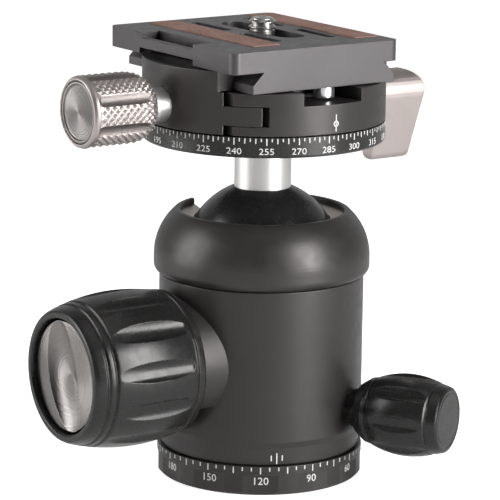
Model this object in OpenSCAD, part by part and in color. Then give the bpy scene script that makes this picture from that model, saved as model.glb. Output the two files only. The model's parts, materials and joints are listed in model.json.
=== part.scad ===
// Tripod ball head with a panning base, a drop notch, a top panning clamp and a quick release plate.
// The origin is the centre of the base's underside, +Z up. The lock knobs of ball and jaw point to -X.

/* [Base] */
// How far the base ring stands out past the body
base_step = 0.2; // [0:0.1:2]
// Height of the base ring
base_h = 6.7; // [5.5:0.1:9]
// Minor radius of the 3/8 inch thread for the tripod
tripod_thread_r = 3.97; // [3:0.01:4.2]
// Depth of the tripod thread
tripod_thread_depth = 12; // [8:0.5:13]
// Number of finger scallops round the base
scallop_count = 12; // [6:1:18]
// Depth of a scallop
scallop_depth = 0.6; // [0.2:0.05:1]
// Radius of the panning hub
hub_r = 12.5; // [10:0.1:14]
// Seam between parts that turn on each other
seam = 0.3; // [0.15:0.05:0.5]

/* [Body] */
// Radius of the body
body_r = 23.5; // [22:0.1:27]
// Height at which the body starts to narrow to its foot
foot_z = 12.2; // [10.5:0.1:14]
// How far the body narrows to its foot
foot_step = 0.6; // [0.2:0.1:1.2]
// Height of the ball's centre
ball_z = 50; // [49:0.1:54]
// Thickness of the ball cup where the ball is widest
cup_wall = 0.47; // [0.3:0.01:1]
// How far the collar stands out past the body
collar_step = 1.3; // [0.7:0.1:3.5]
// Distance of the collar's lower edge below the ball's centre
collar_drop = 3.1; // [2.6:0.1:3.6]
// Radius of the collar's rounded shoulder
shoulder_r = 14; // [13.4:0.1:15]
// Height of the collar's rim above the ball's centre
rim_h = 11.45; // [11.2:0.05:11.9]
// Width of the drop notch
notch_w = 14.4; // [13.8:0.1:16]

/* [Ball] */
// Radius of the ball
ball_r = 18; // [17.4:0.1:18.4]
// Radius of the stem
stem_r = 6.5; // [5.5:0.1:6.7]
// Thickness of the ball cup's liner
liner_t = 0.95; // [0.6:0.05:1.1]

/* [Ball lock] */
// Height of the ball lock's axis
lock_z = 28.8; // [28.6:0.1:29.2]
// Radius of the boss on the body
boss_r = 14.4; // [12:0.1:15]
// How far the boss stands out past the body
boss_step = 1.7; // [1.1:0.1:4]
// Length of the ball lock knob
lock_knob_l = 28.1; // [24.6:0.1:32.6]
// Greatest radius of the ball lock knob
lock_knob_r = 17.6; // [17.2:0.1:19]
// Radius of the ball lock knob's front rim
lock_rim_r = 14.9; // [14:0.1:15.4]
// Number of flutes on the ball lock knob
lock_flutes = 12; // [6:1:16]
// Radius of the friction dial
dial_r = 12.8; // [10:0.1:13.2]
// Slope of the lifting wedge in degrees
wedge_slope = 12; // [9:0.5:13]
// Radius of the ball lock screw
lock_screw_r = 3; // [2.5:0.1:3.4]

/* [Base lock] */
// Height of the base lock's axis
pan_z = 17.3; // [16.8:0.1:17.8]
// Direction of the base lock's axis in degrees
pan_polar = -60; // [-90:1:-50]
// Length of the base lock knob in front of its neck
pan_knob_l = 21.6; // [18.4:0.1:26.4]
// Greatest radius of the base lock knob
pan_knob_r = 9.4; // [8.4:0.1:10.4]
// Number of flutes on the base lock knob
pan_flutes = 8; // [5:1:12]
// Radius of the base lock screw
pan_screw_r = 2.5; // [2:0.1:2.8]

/* [Clamp] */
// Radius of the clamp and of the scale ring
clamp_r = 27.7; // [27:0.1:30]
// Height of the scale ring's underside above the ball's centre
stem_reach = 28.1; // [27.5:0.1:30]
// Thickness of the scale ring
ring_h = 4.55; // [4:0.05:6]
// Height of the clamp's bed above the scale ring
bed_h = 9.65; // [9.5:0.05:10.5]
// Radius of the top panning hub
top_hub_r = 11; // [9.5:0.1:12]
// Gap between the jaw and the clamp
jaw_gap = 1.4; // [1.2:0.1:3]
// Thickness of the jaw at its middle
jaw_t = 5.55; // [5.1:0.05:5.9]
// Height of the jaw's axis above the scale ring
jaw_axis_h = 5.15; // [5:0.05:5.4]
// Radius of the jaw screw
jaw_screw_r = 2.5; // [2:0.1:2.7]

/* [Jaw knob] */
// Gap between the clamp's rim and the jaw knob
jaw_knob_gap = 3.6; // [1.5:0.1:8]
// Length of the jaw knob
jaw_knob_l = 18.1; // [15:0.1:18.6]
// Radius of the jaw knob over the knurl
jaw_knob_r = 8.2; // [7.6:0.1:8.6]
// Number of smooth flutes on the jaw knob
jaw_flutes = 7; // [4:1:10]

/* [Lever] */
// Gap between the clamp's rim and the lever
lever_gap = 1.8; // [1.5:0.1:3.8]
// Width of the lever at its top
lever_w = 12.7; // [11.5:0.1:16]
// Radius of the lever's barrel
lever_r = 5; // [4.2:0.1:5.2]
// Distance from the lever's axis to its lower end
lever_l = 16.2; // [13:0.1:20]
// Thickness of the lever's lower end
lever_t = 3.6; // [2.4:0.1:4.4]

/* [Plate] */
// Width of the plate
plate_w = 44.6; // [43:0.1:50]
// Length of the plate
plate_l = 51; // [48:0.5:60]
// Thickness of the plate's flange
flange_h = 4.7; // [4.4:0.1:6]
// Greatest width of the dovetail
dovetail_w = 38; // [37.8:0.05:38.2]
// Height of the dovetail under the flange
dovetail_h = 4.6; // [4.4:0.1:5]
// Height of the sloping part of the dovetail
slope_h = 2.8; // [2.4:0.1:3]
// Major radius of the 1/4 inch camera thread
camera_thread_r = 3.175; // [3:0.005:3.4]
// Height of the camera stud above the plate
stud_h = 2.9; // [2.4:0.1:6]
// Width of a grip strip
strip_w = 6.9; // [4:0.1:7]
// Length of a grip strip
strip_l = 42.4; // [36:0.1:43]
// Height that a grip strip stands proud of the plate
strip_proud = 0.25; // [0.1:0.05:0.6]

/* [Hidden] */
$fn = 96;
// Radial play of parts that turn or slide on each other, and of parts that are fixed together
run_play = 0.05;
fit_play = 0.04;
// Play between flat faces that pass each other
face_play = 0.1;
// Overshoot of a cut past the face that it opens
over = 1;

// Base and panning hub
base_r = body_r + base_step;
foot_r = body_r - foot_step;
base_chamfer = 0.6;
scallop_cut_r = 30;
scallop_top = 4.7;
scallop_turn = -3.4;
bushing_r = 6.2;
bushing_wall_h = 0.6;
groove_half = 2;
groove_flat_half = 0.6;
groove_depth = 1.4;
hub_land_h = 2.7;
hub_top = pan_z + hub_land_h;
hub_bolt_r = 3;
hub_bolt_head_r = 5;
hub_bolt_head_h = 1.9;
hub_hex_r = 2;
hub_hex_z = 0.6;
retainer_r = 15.4;
retainer_h = 1.7;
washer_h = 1.1;
washer_in = hub_r + 0.7;
foot_wall = 2;
washer_play = 0.3;
washer_out = foot_r - foot_wall - washer_play;
body_z = base_h + seam;
recess_top = base_h + washer_h + face_play;
floor_top = hub_top - face_play;

// Body, ball cup and wedge
retainer_play = 0.6;
pocket_r = retainer_r + retainer_play;
bolt_play = 0.5;
ledge_z = hub_top + retainer_h + hub_bolt_head_h + bolt_play;
thrust_h = 1.2;
thrust_top = ledge_z + thrust_h;
collar_r = body_r + collar_step;
collar_z = ball_z - collar_drop;
spigot_h = 5.4;
spigot_step = 1.7;
collar_play = 0.1;
body_top = collar_z + spigot_h;
spigot_r = body_r - spigot_step;
spigot_z = collar_z - collar_play;
cup_drop = 8;
cup_under_drop = 16;
liner_drop = 17;
liner_inset = 1;
cup_play = 0.08;
cup_top = ball_z - cup_drop;
cup_foot_r = 12.2;
cup_under = ball_z - cup_under_drop;
cup_foot_play = 0.2;
liner_in = ball_r + run_play;
liner_out = liner_in + liner_t;
cup_in = liner_out + run_play;
cup_r = cup_in + cup_wall;
cavity_r = cup_r + cup_play;
liner_top = cup_top - liner_inset;
liner_low = ball_z - liner_drop;
cup_hole_r = 6;
foot_taper_h = 1.4;
foot_taper = 0.2;
wedge_w = 11;
wedge_mid_h = 3.75;
wedge_z = thrust_top + wedge_mid_h;
wedge_end_play = 0.4;
slope_reach = 40;
notch_r = notch_w / 2;
seat_play = 0.2;
seat_step = 0.3;
seat_reach = 4;
seat_lift = 0.15;
seat_rise = 10.2;
seat_lip_h = 1;
seat_lip_drop = 0.3;
seat_in = ball_r + seat_play;
seat_out = cavity_r + seat_step;
seat_low = body_top + seat_lift;
seat_top = ball_z + seat_rise;
seat_lip = seat_top - seat_lip_h;
shoulder_rise = 0.8;
shoulder_z = ball_z + shoulder_rise;
rim_z = ball_z + rim_h;
rim_play = 0.8;
rim_wall = 1.26;
rim_chamfer = 0.25;
rim_chamfer_h = 0.15;
rim_in = ball_r + rim_play;
rim_out = rim_in + rim_wall;
lip_r = 1.9;

// Ball and stem
stem_sink = 0.1;
stem_z = ball_z + sqrt(ball_r * ball_r - stem_r * stem_r) - stem_sink;
stud_r = 4;
stud_l = 15;
stud_in_stem = 4.8;
stud_end_play = 0.5;
top_bolt_r = 3;
top_bolt_head_r = 5;
top_bolt_head_h = 2;
top_bolt_in_stem = 5.6;
top_bolt_end_play = 0.3;

// Ball lock knob
boss_x = body_r + boss_step;
lock_back_x = boss_x + 0.2;
lock_front_x = lock_back_x + lock_knob_l;
lock_back_r = 16.3;
lock_rim_l = 5.4;
dial_pocket_l = 6;
lock_socket_l = 5.4;
lock_band = 2.2;
lock_flute_r = 3.2;
lock_flute_depth = 1;
lock_flute_turn = 10;
lock_tip_x = cup_foot_r + face_play;
lock_tip_r = 2.3;
lock_bushing_r = 5.6;
lock_bushing_in = 0.15;
lock_bushing_sink = 0.05;
lock_tip_l = 2;
dial_face = 1.2;
dial_h = 4.2;
dial_scoop_r = 11;
dial_scoop_depth = 2.2;
dial_scoop_turn = 16;
dial_dome = 1.4;
dial_flat_r = 6;
dial_stem_r = 4.5;
dial_stem_h = 5;
dial_tip_r = 1.6;
dial_tip_l = 5;
dial_play = 0.3;
dial_stop_play = 0.2;
dial_chamfer = 0.4;
stop_ring_h = 0.5;
stop_ring_step = 2;

// Base lock knob
pan_neck_r = 4.4;
pan_neck_l = 1.75;
pan_gap = 0.35;
pan_back_x = body_r + pan_gap + pan_neck_l;
pan_front_x = pan_back_x + pan_knob_l;
pan_socket_l = 7;
screw_end_play = 0.2;
pan_rim_l = 3.2;
pan_flute_r = 2.4;
pan_flute_depth = 1.05;
pan_end_r = 7.45;
pan_plunger_x = hub_r - groove_depth + face_play;
pan_plunger_l = 5;
pan_cone_l = 1.9;
pan_bushing_r = 4;
pan_bushing_in = 2.5;
pan_bushing_sink = 0.35;

// Clamp, jaw and top panning hub
ring_z = ball_z + stem_reach;
ring_top = ring_z + ring_h;
clamp_z = ring_top + seam;
bed_z = ring_top + bed_h;
ring_chamfer = 0.4;
brake_h = 3.35;
brake_z = ring_top + brake_h;
brake_groove_half = 1.5;
brake_groove_flat_half = 0.6;
brake_groove_depth = 1.1;
top_hub_h = 5.35;
top_hub_top = ring_top + top_hub_h;
jaw_x = clamp_r - jaw_t;
clamp_x = jaw_x - jaw_gap;
clamp_wall = 2.25;
top_washer_h = 1;
top_washer_play = 0.6;
top_washer_in = top_hub_r + top_washer_play;
top_washer_out = clamp_x - clamp_wall;
top_washer_gap = 0.3;
top_retainer_r = 13;
top_retainer_h = 1.4;
top_retainer_play = 0.4;
top_pocket_r = top_retainer_r + top_retainer_play;
top_floor = top_hub_top - face_play;
jaw_z = ring_top + jaw_axis_h;
tongue_low = 2.45;
tongue_h = 4.2;
tongue_root = 2.63;
tongue_l = 6.25;
tongue_z0 = ring_top + tongue_low;
tongue_z1 = tongue_z0 + tongue_h;
tongue_y = sqrt(clamp_r * clamp_r - jaw_x * jaw_x) - tongue_root;
tongue_end_x = jaw_x - tongue_l;
tongue_play = 0.15;
jaw_screw_room = 0.8;
jaw_screw_end_play = 0.4;
jaw_inner_tip_x = top_pocket_r + jaw_screw_room + jaw_screw_end_play;
jaw_collar_r = 4;
jaw_collar_depth = 2.5;
jaw_screw_play = 0.1;
guide_pin_r = 1.5;
guide_inset = 3.2;
guide_y = tongue_y - guide_inset;
guide_pin_l = 7.8;
guide_depth = 5;
guide_reach = 1.8;
pin_end_play = 0.1;
spring_step = 4.2;
spring_y = guide_y - spring_step;
spring_drop = 1.5;
spring_depth = 3;
spring_play = 0.3;
spring_r = 1.5;
spring_wire = 0.5;
window_x0 = -7.6;
window_x1 = 8;
window_h = 2.8;
jaw_play = 0.08;
jaw_lift = 0.15;
brake_r = 1.9;
brake_l = 5.8;
brake_cone_l = 1.5;
brake_tip_in = 1;
brake_tip_x = top_hub_r - brake_tip_in;
lever_x = clamp_r + lever_gap;
lever_screw_r = 2.1;
lever_collar_r = 3.2;
lever_collar_gap = 0.3;
lever_bushing_r = 2.9;
lever_bushing_l = 7;
lever_socket_end = 4;
lever_corner = 4.6;
lever_low_corner = 1.2;
lever_taper = 2.05;
lip_step = 1.5;
lip_y = tongue_y + lip_step;
lip_gap = 0.3;

// Jaw knob
jaw_back_x = clamp_r + jaw_knob_gap;
jaw_front_x = jaw_back_x + jaw_knob_l;
jaw_cap_depth = 1.5;
jaw_cap_h = 1.3;
jaw_cap_lift = 0.05;
jaw_ring_h = 0.9;
jaw_ring_r = 4.5;
jaw_cap_r = 5.95;
jaw_flute_cut_r = 1.5;
jaw_flute_depth = 0.85;

// Plate
plate_z = bed_z + lip_gap;
flange_z = plate_z + dovetail_h;
plate_top = flange_z + flange_h;
plate_mid_x = -2;
plate_x0 = plate_mid_x - plate_w / 2;
plate_x1 = plate_mid_x + plate_w / 2;
plate_mid_y = 1.9;
plate_y0 = plate_mid_y - plate_l / 2;
plate_y1 = plate_mid_y + plate_l / 2;
plate_corner = 1.8;
neck_x = dovetail_w / 2 - slope_h;
dovetail_reach = 60;
slot_dx = 4.3;
slot_dy = 2.4;
slot_x = plate_mid_x + slot_dx;
slot_y = plate_mid_y + slot_dy;
slot_w = 6.8;
slot_l = 28.4;
slot_neck_w = 5;
slot_head_w = 12.6;
slot_head_h = 3.1;
slot_land_h = 2.2;
side_slot_w = 2.6;
side_slot_l = 14.8;
side_slot_dx = 7.3;
side_slot_dy = 10.05;
side_slot_depth = 2.2;
strap_bar_w = 2.1;
strap_slot_w = 3.1;
strap_y0 = -7.5;
strap_y1 = 14.5;
strap_bar_drop = 1.3;
strap_bar_lift = 1.3;
strip_depth = 0.6;
strip_inner_dx = 10.15;
strip_dy = -0.4;
screw_head_r = 6;
screw_head_h = 2.2;
screw_neck_r = 2.4;
screw_seat_r = 3.3;
screw_washer_r = 5.8;
screw_washer_h = 0.5;
screw_thread_lift = 0.3;
stud_chamfer = 0.5;
screw_slit_w = 1.2;
screw_slit_h = 1.1;
stop_head_r = 2.5;
stop_head_h = 2.5;
stop_shank_r = 1.5;
stop_shank_l = 3.8;
stop_hole_l = 4;
stop_hex_h = 1;
stop_x = 2;
stop_inset = 3.3;
stop_near_y = plate_y0 + stop_inset;
stop_far_y = plate_y1 - stop_inset;
stop_play = 0.8;
window_wall_y = -stop_near_y - stop_head_r - stop_play;

// Points of an arc about (cx, cy), from angle a0 to angle a1 in n steps
function arc(cx, cy, r, a0, a1, n) = [for (i = [0:n]) let (a = a0 + (a1 - a0) * i / n)
    [cx + r * cos(a), cy + r * sin(a)]];

// Points of a knob's belly: from (x0, r0) to (x1, r1), swelling by belly at the middle
function bow(x0, r0, x1, r1, belly, n) = [for (i = [0:n]) let (t = i / n)
    [r0 + (r1 - r0) * t + belly * 4 * t * (1 - t), x0 + (x1 - x0) * t]];

// A plain ring between two heights
module ring(r_out, r_in, z0, z1) {
    translate([0, 0, z0])
        difference() {
            cylinder(h = z1 - z0, r = r_out);
            translate([0, 0, -over])
                cylinder(h = z1 - z0 + 2 * over, r = r_in);
        }
}

// Turns +Z outward, level, in the given direction
module outward(polar) {
    rotate([0, 0, polar])
        rotate([0, 90, 0])
            children();
}

// A disc segment of the clamp between two heights
module clamp_disc(z0, z1, r = clamp_r) {
    translate([0, 0, z0])
        cylinder(h = z1 - z0, r = r, $fn = 120);
}

// A box given by its two corners
module box(a, b) {
    translate(a)
        cube(b - a);
}

// The slot that the stem drops into, open to +Y
module notch() {
    translate([0, 0, ball_z])
        rotate([-90, 0, 0])
            cylinder(h = 2 * collar_r, r = notch_r);
    box([-notch_r, 0, ball_z], [notch_r, 2 * collar_r, rim_z + 2 * over]);
}

// Flutes cut along a knob whose axis is +Z
module flutes(count, knob_r, cut_r, depth, z0, z1, turn = 0) {
    for (i = [0:count - 1])
        rotate([0, 0, turn + i * 360 / count])
            translate([knob_r - depth + cut_r, 0, z0])
                cylinder(h = z1 - z0, r = cut_r, $fn = 32);
}

module base_ring() {
    groove_z = pan_z;
    profile = [[bushing_r + fit_play, 0], [base_r - base_chamfer, 0], [base_r, base_chamfer],
        [base_r, base_h], [hub_r, base_h], [hub_r, groove_z - groove_half],
        [hub_r - groove_depth, groove_z - groove_flat_half],
        [hub_r - groove_depth, groove_z + groove_flat_half],
        [hub_r, groove_z + groove_half], [hub_r, hub_top], [hub_bolt_r + fit_play, hub_top],
        [hub_bolt_r + fit_play, tripod_thread_depth + bushing_wall_h],
        [bushing_r + fit_play, tripod_thread_depth + bushing_wall_h]];
    color([0.22, 0.21, 0.21])
        difference() {
            rotate_extrude($fn = 120)
                polygon(profile);
            for (i = [0:scallop_count - 1])
                rotate([0, 0, scallop_turn + i * 360 / scallop_count])
                    translate([base_r - scallop_depth + scallop_cut_r, 0, -over])
                        cylinder(h = scallop_top + over, r = scallop_cut_r, $fn = 120);
        }
}

module tripod_bushing() {
    color([0.72, 0.72, 0.73])
        difference() {
            cylinder(h = tripod_thread_depth + bushing_wall_h - fit_play, r = bushing_r);
            translate([0, 0, -over])
                cylinder(h = tripod_thread_depth + over, r = tripod_thread_r);
        }
}

module hub_retainer() {
    color([0.6, 0.6, 0.62])
        ring(retainer_r, hub_bolt_r + fit_play, hub_top, hub_top + retainer_h);
}

module hub_bolt() {
    head_z = hub_top + retainer_h;
    color([0.45, 0.45, 0.47])
        difference() {
            union() {
                translate([0, 0, head_z])
                    cylinder(h = hub_bolt_head_h, r = hub_bolt_head_r);
                translate([0, 0, tripod_thread_depth + bushing_wall_h])
                    cylinder(h = head_z - tripod_thread_depth, r = hub_bolt_r);
            }
            translate([0, 0, head_z + hub_hex_z])
                cylinder(h = hub_bolt_head_h, r = hub_hex_r, $fn = 6);
        }
}

module pan_washer() {
    color([0.9, 0.9, 0.88])
        ring(washer_out, washer_in, base_h, base_h + washer_h);
}

module housing() {
    recess_r = washer_out + washer_play;
    profile = [[hub_r + run_play, recess_top], [recess_r, recess_top], [recess_r, body_z],
        [foot_r, body_z], [foot_r + foot_taper, foot_z - foot_taper_h], [body_r, foot_z], [body_r, spigot_z],
        [spigot_r, spigot_z], [spigot_r, body_top], [cavity_r, body_top], [cavity_r, ledge_z],
        [pocket_r, ledge_z], [pocket_r, floor_top], [hub_r + run_play, floor_top]];
    color([0.25, 0.24, 0.24])
        difference() {
            union() {
                rotate_extrude($fn = 120)
                    polygon(profile);
                intersection() {
                    translate([0, 0, lock_z])
                        outward(180)
                            cylinder(h = boss_x, r = boss_r);
                    ring(boss_x + body_r, cavity_r + over, floor_top, spigot_z);
                }
            }
            translate([0, 0, lock_z])
                outward(180)
                    translate([0, 0, cavity_r - 2 * over])
                        cylinder(h = boss_x, r = lock_bushing_r + fit_play);
            translate([0, 0, pan_z])
                outward(pan_polar)
                    cylinder(h = body_r + over, r = pan_screw_r + run_play);
            translate([0, 0, pan_z])
                outward(pan_polar)
                    translate([0, 0, pocket_r + pan_bushing_in])
                        cylinder(h = body_r, r = pan_bushing_r + fit_play);
            notch();
        }
}

module collar() {
    rim_edge_z = rim_z - rim_chamfer_h;
    rim_angle = asin((rim_edge_z - shoulder_z) / shoulder_r);
    bulge = (collar_r - rim_out) / (1 - cos(rim_angle));
    profile = concat(
        [[spigot_r + fit_play, collar_z]],
        arc(collar_r - lip_r, collar_z + lip_r, lip_r, -80, 0, 6),
        [for (i = [0:14]) let (a = rim_angle * i / 14)
            [collar_r - bulge * (1 - cos(a)), shoulder_z + shoulder_r * sin(a)]],
        [[rim_out - rim_chamfer, rim_z], [rim_in + rim_chamfer, rim_z], [rim_in, rim_z - rim_chamfer],
        [rim_in, seat_top],
        [seat_out + fit_play, seat_top], [seat_out + fit_play, body_top], [spigot_r + fit_play, body_top]]);
    color([0.27, 0.26, 0.26])
        difference() {
            rotate_extrude($fn = 120)
                polygon(profile);
            notch();
        }
}

module seat_ring() {
    profile = [[seat_in - seat_reach, seat_low], [seat_out, seat_low], [seat_out, seat_top - run_play],
        [rim_in, seat_top - run_play], [seat_in - seat_reach, seat_lip - seat_lip_drop]];
    color([0.62, 0.58, 0.55])
        difference() {
            rotate_extrude($fn = 120)
                polygon(profile);
            translate([0, 0, ball_z])
                sphere(r = seat_in, $fn = 96);
            notch();
        }
}

module thrust_plate() {
    color([0.66, 0.66, 0.68])
        translate([0, 0, ledge_z])
            cylinder(h = thrust_h, r = cavity_r - fit_play);
}

module lock_bushing() {
    color([0.7, 0.62, 0.4])
        translate([0, 0, lock_z])
            outward(180)
                difference() {
                    translate([0, 0, cavity_r + lock_bushing_in])
                        cylinder(h = boss_x - cavity_r - lock_bushing_in - lock_bushing_sink,
                            r = lock_bushing_r);
                    cylinder(h = 2 * boss_x, r = lock_screw_r + run_play);
                }
}

module pan_bushing() {
    color([0.7, 0.62, 0.4])
        translate([0, 0, pan_z])
            outward(pan_polar)
                difference() {
                    translate([0, 0, pocket_r + pan_bushing_in + run_play])
                        cylinder(h = body_r - pocket_r - pan_bushing_in - run_play - pan_bushing_sink,
                            r = pan_bushing_r);
                    cylinder(h = 2 * body_r, r = pan_screw_r + run_play);
                }
}

// The plane that the wedge and the cup's foot share, as a solid below it
module under_slope(lift) {
    translate([0, 0, wedge_z + lift])
        rotate([0, wedge_slope, 0])
            translate([-slope_reach, -slope_reach, -slope_reach])
                cube([2 * slope_reach, 2 * slope_reach, slope_reach]);
}

module ball_cup() {
    color([0.55, 0.55, 0.57])
        difference() {
            union() {
                translate([0, 0, cup_under])
                    cylinder(h = cup_top - cup_under, r = cup_r);
                translate([0, 0, thrust_top + cup_foot_play])
                    cylinder(h = cup_under - thrust_top, r = cup_foot_r);
            }
            translate([0, 0, ball_z])
                sphere(r = cup_in, $fn = 96);
            cylinder(h = ball_z, r = cup_hole_r);
            under_slope(run_play);
        }
}

module cup_liner() {
    color([0.85, 0.84, 0.8])
        difference() {
            intersection() {
                translate([0, 0, ball_z])
                    sphere(r = liner_out, $fn = 96);
                translate([0, 0, liner_low])
                    cylinder(h = liner_top - liner_low, r = 2 * ball_r);
            }
            translate([0, 0, ball_z])
                sphere(r = liner_in, $fn = 96);
        }
}

module ball() {
    color([0.08, 0.08, 0.08])
        difference() {
            translate([0, 0, ball_z])
                sphere(r = ball_r, $fn = 96);
            translate([0, 0, stem_z])
                cylinder(h = ball_r, r = ball_r);
            translate([0, 0, stem_z + stud_in_stem - stud_l - stud_end_play])
                cylinder(h = stud_l + ball_r, r = stud_r + fit_play);
        }
}

module stem() {
    color([0.72, 0.71, 0.7])
        difference() {
            translate([0, 0, stem_z])
                cylinder(h = ring_z - stem_z, r = stem_r);
            translate([0, 0, stem_z - over])
                cylinder(h = stud_in_stem + over + seat_play, r = stud_r + fit_play);
            translate([0, 0, ring_z - top_bolt_in_stem])
                cylinder(h = top_bolt_in_stem + over, r = top_bolt_r + fit_play);
        }
}

module stem_stud() {
    color([0.5, 0.5, 0.52])
        translate([0, 0, stem_z + stud_in_stem - stud_l])
            cylinder(h = stud_l, r = stud_r);
}

module scale_ring() {
    groove_r = top_hub_r - brake_groove_depth;
    profile = [[top_bolt_r + fit_play, ring_z], [clamp_r - ring_chamfer, ring_z],
        [clamp_r, ring_z + ring_chamfer], [clamp_r, ring_top], [top_hub_r, ring_top],
        [top_hub_r, brake_z - brake_groove_half], [groove_r, brake_z - brake_groove_flat_half],
        [groove_r, brake_z + brake_groove_flat_half], [top_hub_r, brake_z + brake_groove_half],
        [top_hub_r, top_hub_top], [top_bolt_r + fit_play, top_hub_top]];
    color([0.2, 0.19, 0.19])
        rotate_extrude($fn = 120)
            polygon(profile);
}

module top_retainer() {
    color([0.6, 0.6, 0.62])
        ring(top_retainer_r, top_bolt_r + fit_play, top_hub_top, top_hub_top + top_retainer_h);
}

module top_bolt() {
    head_z = top_hub_top + top_retainer_h;
    low_z = ring_z - top_bolt_in_stem + top_bolt_end_play;
    color([0.45, 0.45, 0.47])
        difference() {
            union() {
                translate([0, 0, head_z])
                    cylinder(h = top_bolt_head_h, r = top_bolt_head_r);
                translate([0, 0, low_z])
                    cylinder(h = head_z - low_z + over, r = top_bolt_r);
            }
            translate([0, 0, head_z + hub_hex_z])
                cylinder(h = top_bolt_head_h, r = hub_hex_r, $fn = 6);
        }
}

module top_washer() {
    color([0.9, 0.9, 0.88])
        ring(top_washer_out, top_washer_in, ring_top, ring_top + top_washer_h);
}

module lift_wedge() {
    color([0.66, 0.66, 0.68])
        intersection() {
            box([-cup_foot_r, -wedge_w / 2, thrust_top],
                [cup_foot_r - wedge_end_play, wedge_w / 2, cup_under + wedge_mid_h]);
            under_slope(0);
        }
}

module lock_knob() {
    front = lock_knob_l;
    belly_0 = lock_band + 0.7;
    belly_1 = front - lock_rim_l;
    socket_z = front - dial_pocket_l - lock_socket_l;
    mid_r = (lock_back_r + lock_rim_r) / 2 + 0.95;
    profile = concat(
        [[lock_screw_r + fit_play, 0], [lock_back_r - 0.4, 0], [lock_back_r, 0.4],
        [lock_back_r + 0.25, lock_band], [lock_back_r - 0.15, lock_band + 0.35]],
        bow(belly_0, lock_back_r + 0.35, belly_1, lock_rim_r + 1.55, lock_knob_r - mid_r, 14),
        [[lock_rim_r + 1, belly_1 + 0.4], [lock_rim_r + 1.25, belly_1 + 0.8],
        [lock_rim_r + 1, belly_1 + 2.1], [lock_rim_r + 0.45, belly_1 + 2.5],
        [lock_rim_r + 0.65, belly_1 + 2.9], [lock_rim_r, front - 0.4], [lock_rim_r - 0.4, front],
        [dial_r + 2 * dial_play, front], [dial_r + dial_play, front - dial_chamfer],
        [dial_r + dial_play, front - dial_pocket_l], [dial_stem_r + dial_play, front - dial_pocket_l],
        [dial_stem_r + dial_play, socket_z], [lock_screw_r + fit_play, socket_z]]);
    color([0.16, 0.16, 0.16])
        translate([0, 0, lock_z])
            outward(180)
                translate([0, 0, lock_back_x])
                    difference() {
                        rotate_extrude($fn = 120)
                            polygon(profile);
                        flutes(lock_flutes, lock_knob_r, lock_flute_r, lock_flute_depth,
                            belly_0 - 0.5, belly_1 - 0.5, lock_flute_turn);
                    }
}

module lock_screw() {
    back = lock_front_x - dial_pocket_l - lock_socket_l - dial_stop_play;
    color([0.6, 0.6, 0.62])
        translate([0, 0, lock_z])
            outward(180)
                difference() {
                    union() {
                        translate([0, 0, lock_tip_x])
                            cylinder(h = back - lock_tip_x, r = lock_tip_r);
                        translate([0, 0, lock_tip_x + lock_tip_l])
                            cylinder(h = back - lock_tip_x - lock_tip_l, r = lock_screw_r);
                    }
                    translate([0, 0, back - dial_tip_l - over])
                        cylinder(h = dial_tip_l + 2 * over, r = dial_tip_r + run_play);
                }
}

module friction_dial() {
    face_x = lock_front_x - dial_face;
    color([0.72, 0.71, 0.7])
        translate([0, 0, lock_z])
            outward(180)
                difference() {
                    union() {
                        translate([0, 0, face_x - dial_h])
                            cylinder(h = dial_h - dial_dome, r = dial_r);
                        translate([0, 0, face_x - dial_dome])
                            cylinder(h = dial_dome, r1 = dial_r, r2 = dial_flat_r);
                        translate([0, 0, face_x - dial_h - dial_stem_h])
                            cylinder(h = dial_stem_h + over, r = dial_stem_r);
                        translate([0, 0, face_x - dial_h - dial_stem_h - dial_tip_l])
                            cylinder(h = dial_tip_l + over, r = dial_tip_r);
                    }
                    rotate([0, 0, dial_scoop_turn])
                        translate([-2 * dial_r, 0, face_x - dial_scoop_depth + dial_scoop_r])
                            rotate([0, 90, 0])
                                cylinder(h = 4 * dial_r, r = dial_scoop_r);
                }
}

module dial_stop_ring() {
    z1 = lock_front_x - dial_face - dial_h - run_play;
    color([0.5, 0.5, 0.52])
        translate([0, 0, lock_z])
            outward(180)
                difference() {
                    translate([0, 0, z1 - stop_ring_h])
                        cylinder(h = stop_ring_h, r = dial_r - stop_ring_step);
                    translate([0, 0, z1 - stop_ring_h - over])
                        cylinder(h = stop_ring_h + 2 * over, r = dial_stem_r + dial_stop_play);
                }
}

module pan_plunger() {
    color([0.7, 0.62, 0.4])
        translate([0, 0, pan_z])
            outward(pan_polar)
                rotate_extrude()
                    polygon([[0, pan_plunger_x], [0.5, pan_plunger_x],
                        [pan_screw_r, pan_plunger_x + pan_cone_l],
                        [pan_screw_r, pan_plunger_x + pan_plunger_l], [0, pan_plunger_x + pan_plunger_l]]);
}

module pan_knob() {
    belly_0 = pan_back_x + 4.6;
    belly_1 = pan_front_x - pan_rim_l;
    neck_x0 = body_r + pan_gap;
    profile = concat(
        [[pan_screw_r + fit_play, neck_x0], [pan_neck_r, neck_x0], [pan_neck_r, pan_back_x],
        [pan_knob_r - 3.6, pan_back_x + 0.5], [pan_knob_r - 1.9, pan_back_x + 2.8],
        [pan_knob_r - 1.7, belly_0 - 0.7], [pan_knob_r - 2, belly_0 - 0.35]],
        bow(belly_0, pan_knob_r - 1.4, belly_1, pan_end_r + 0.9, 1.2, 10),
        [[pan_end_r + 0.6, belly_1 + 0.3], [pan_end_r + 0.7, belly_1 + 0.7],
        [pan_end_r + 0.3, pan_front_x - 1.2], [pan_end_r, pan_front_x - 0.4], [pan_end_r - 0.5, pan_front_x],
        [0, pan_front_x], [0, pan_front_x - pan_socket_l],
        [pan_screw_r + fit_play, pan_front_x - pan_socket_l]]);
    color([0.15, 0.15, 0.15])
        translate([0, 0, pan_z])
            outward(pan_polar)
                difference() {
                    rotate_extrude($fn = 96)
                        polygon(profile);
                    flutes(pan_flutes, pan_knob_r, pan_flute_r, pan_flute_depth,
                        belly_0 + 0.3, belly_1 - 0.3, 180);
                }
}

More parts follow.
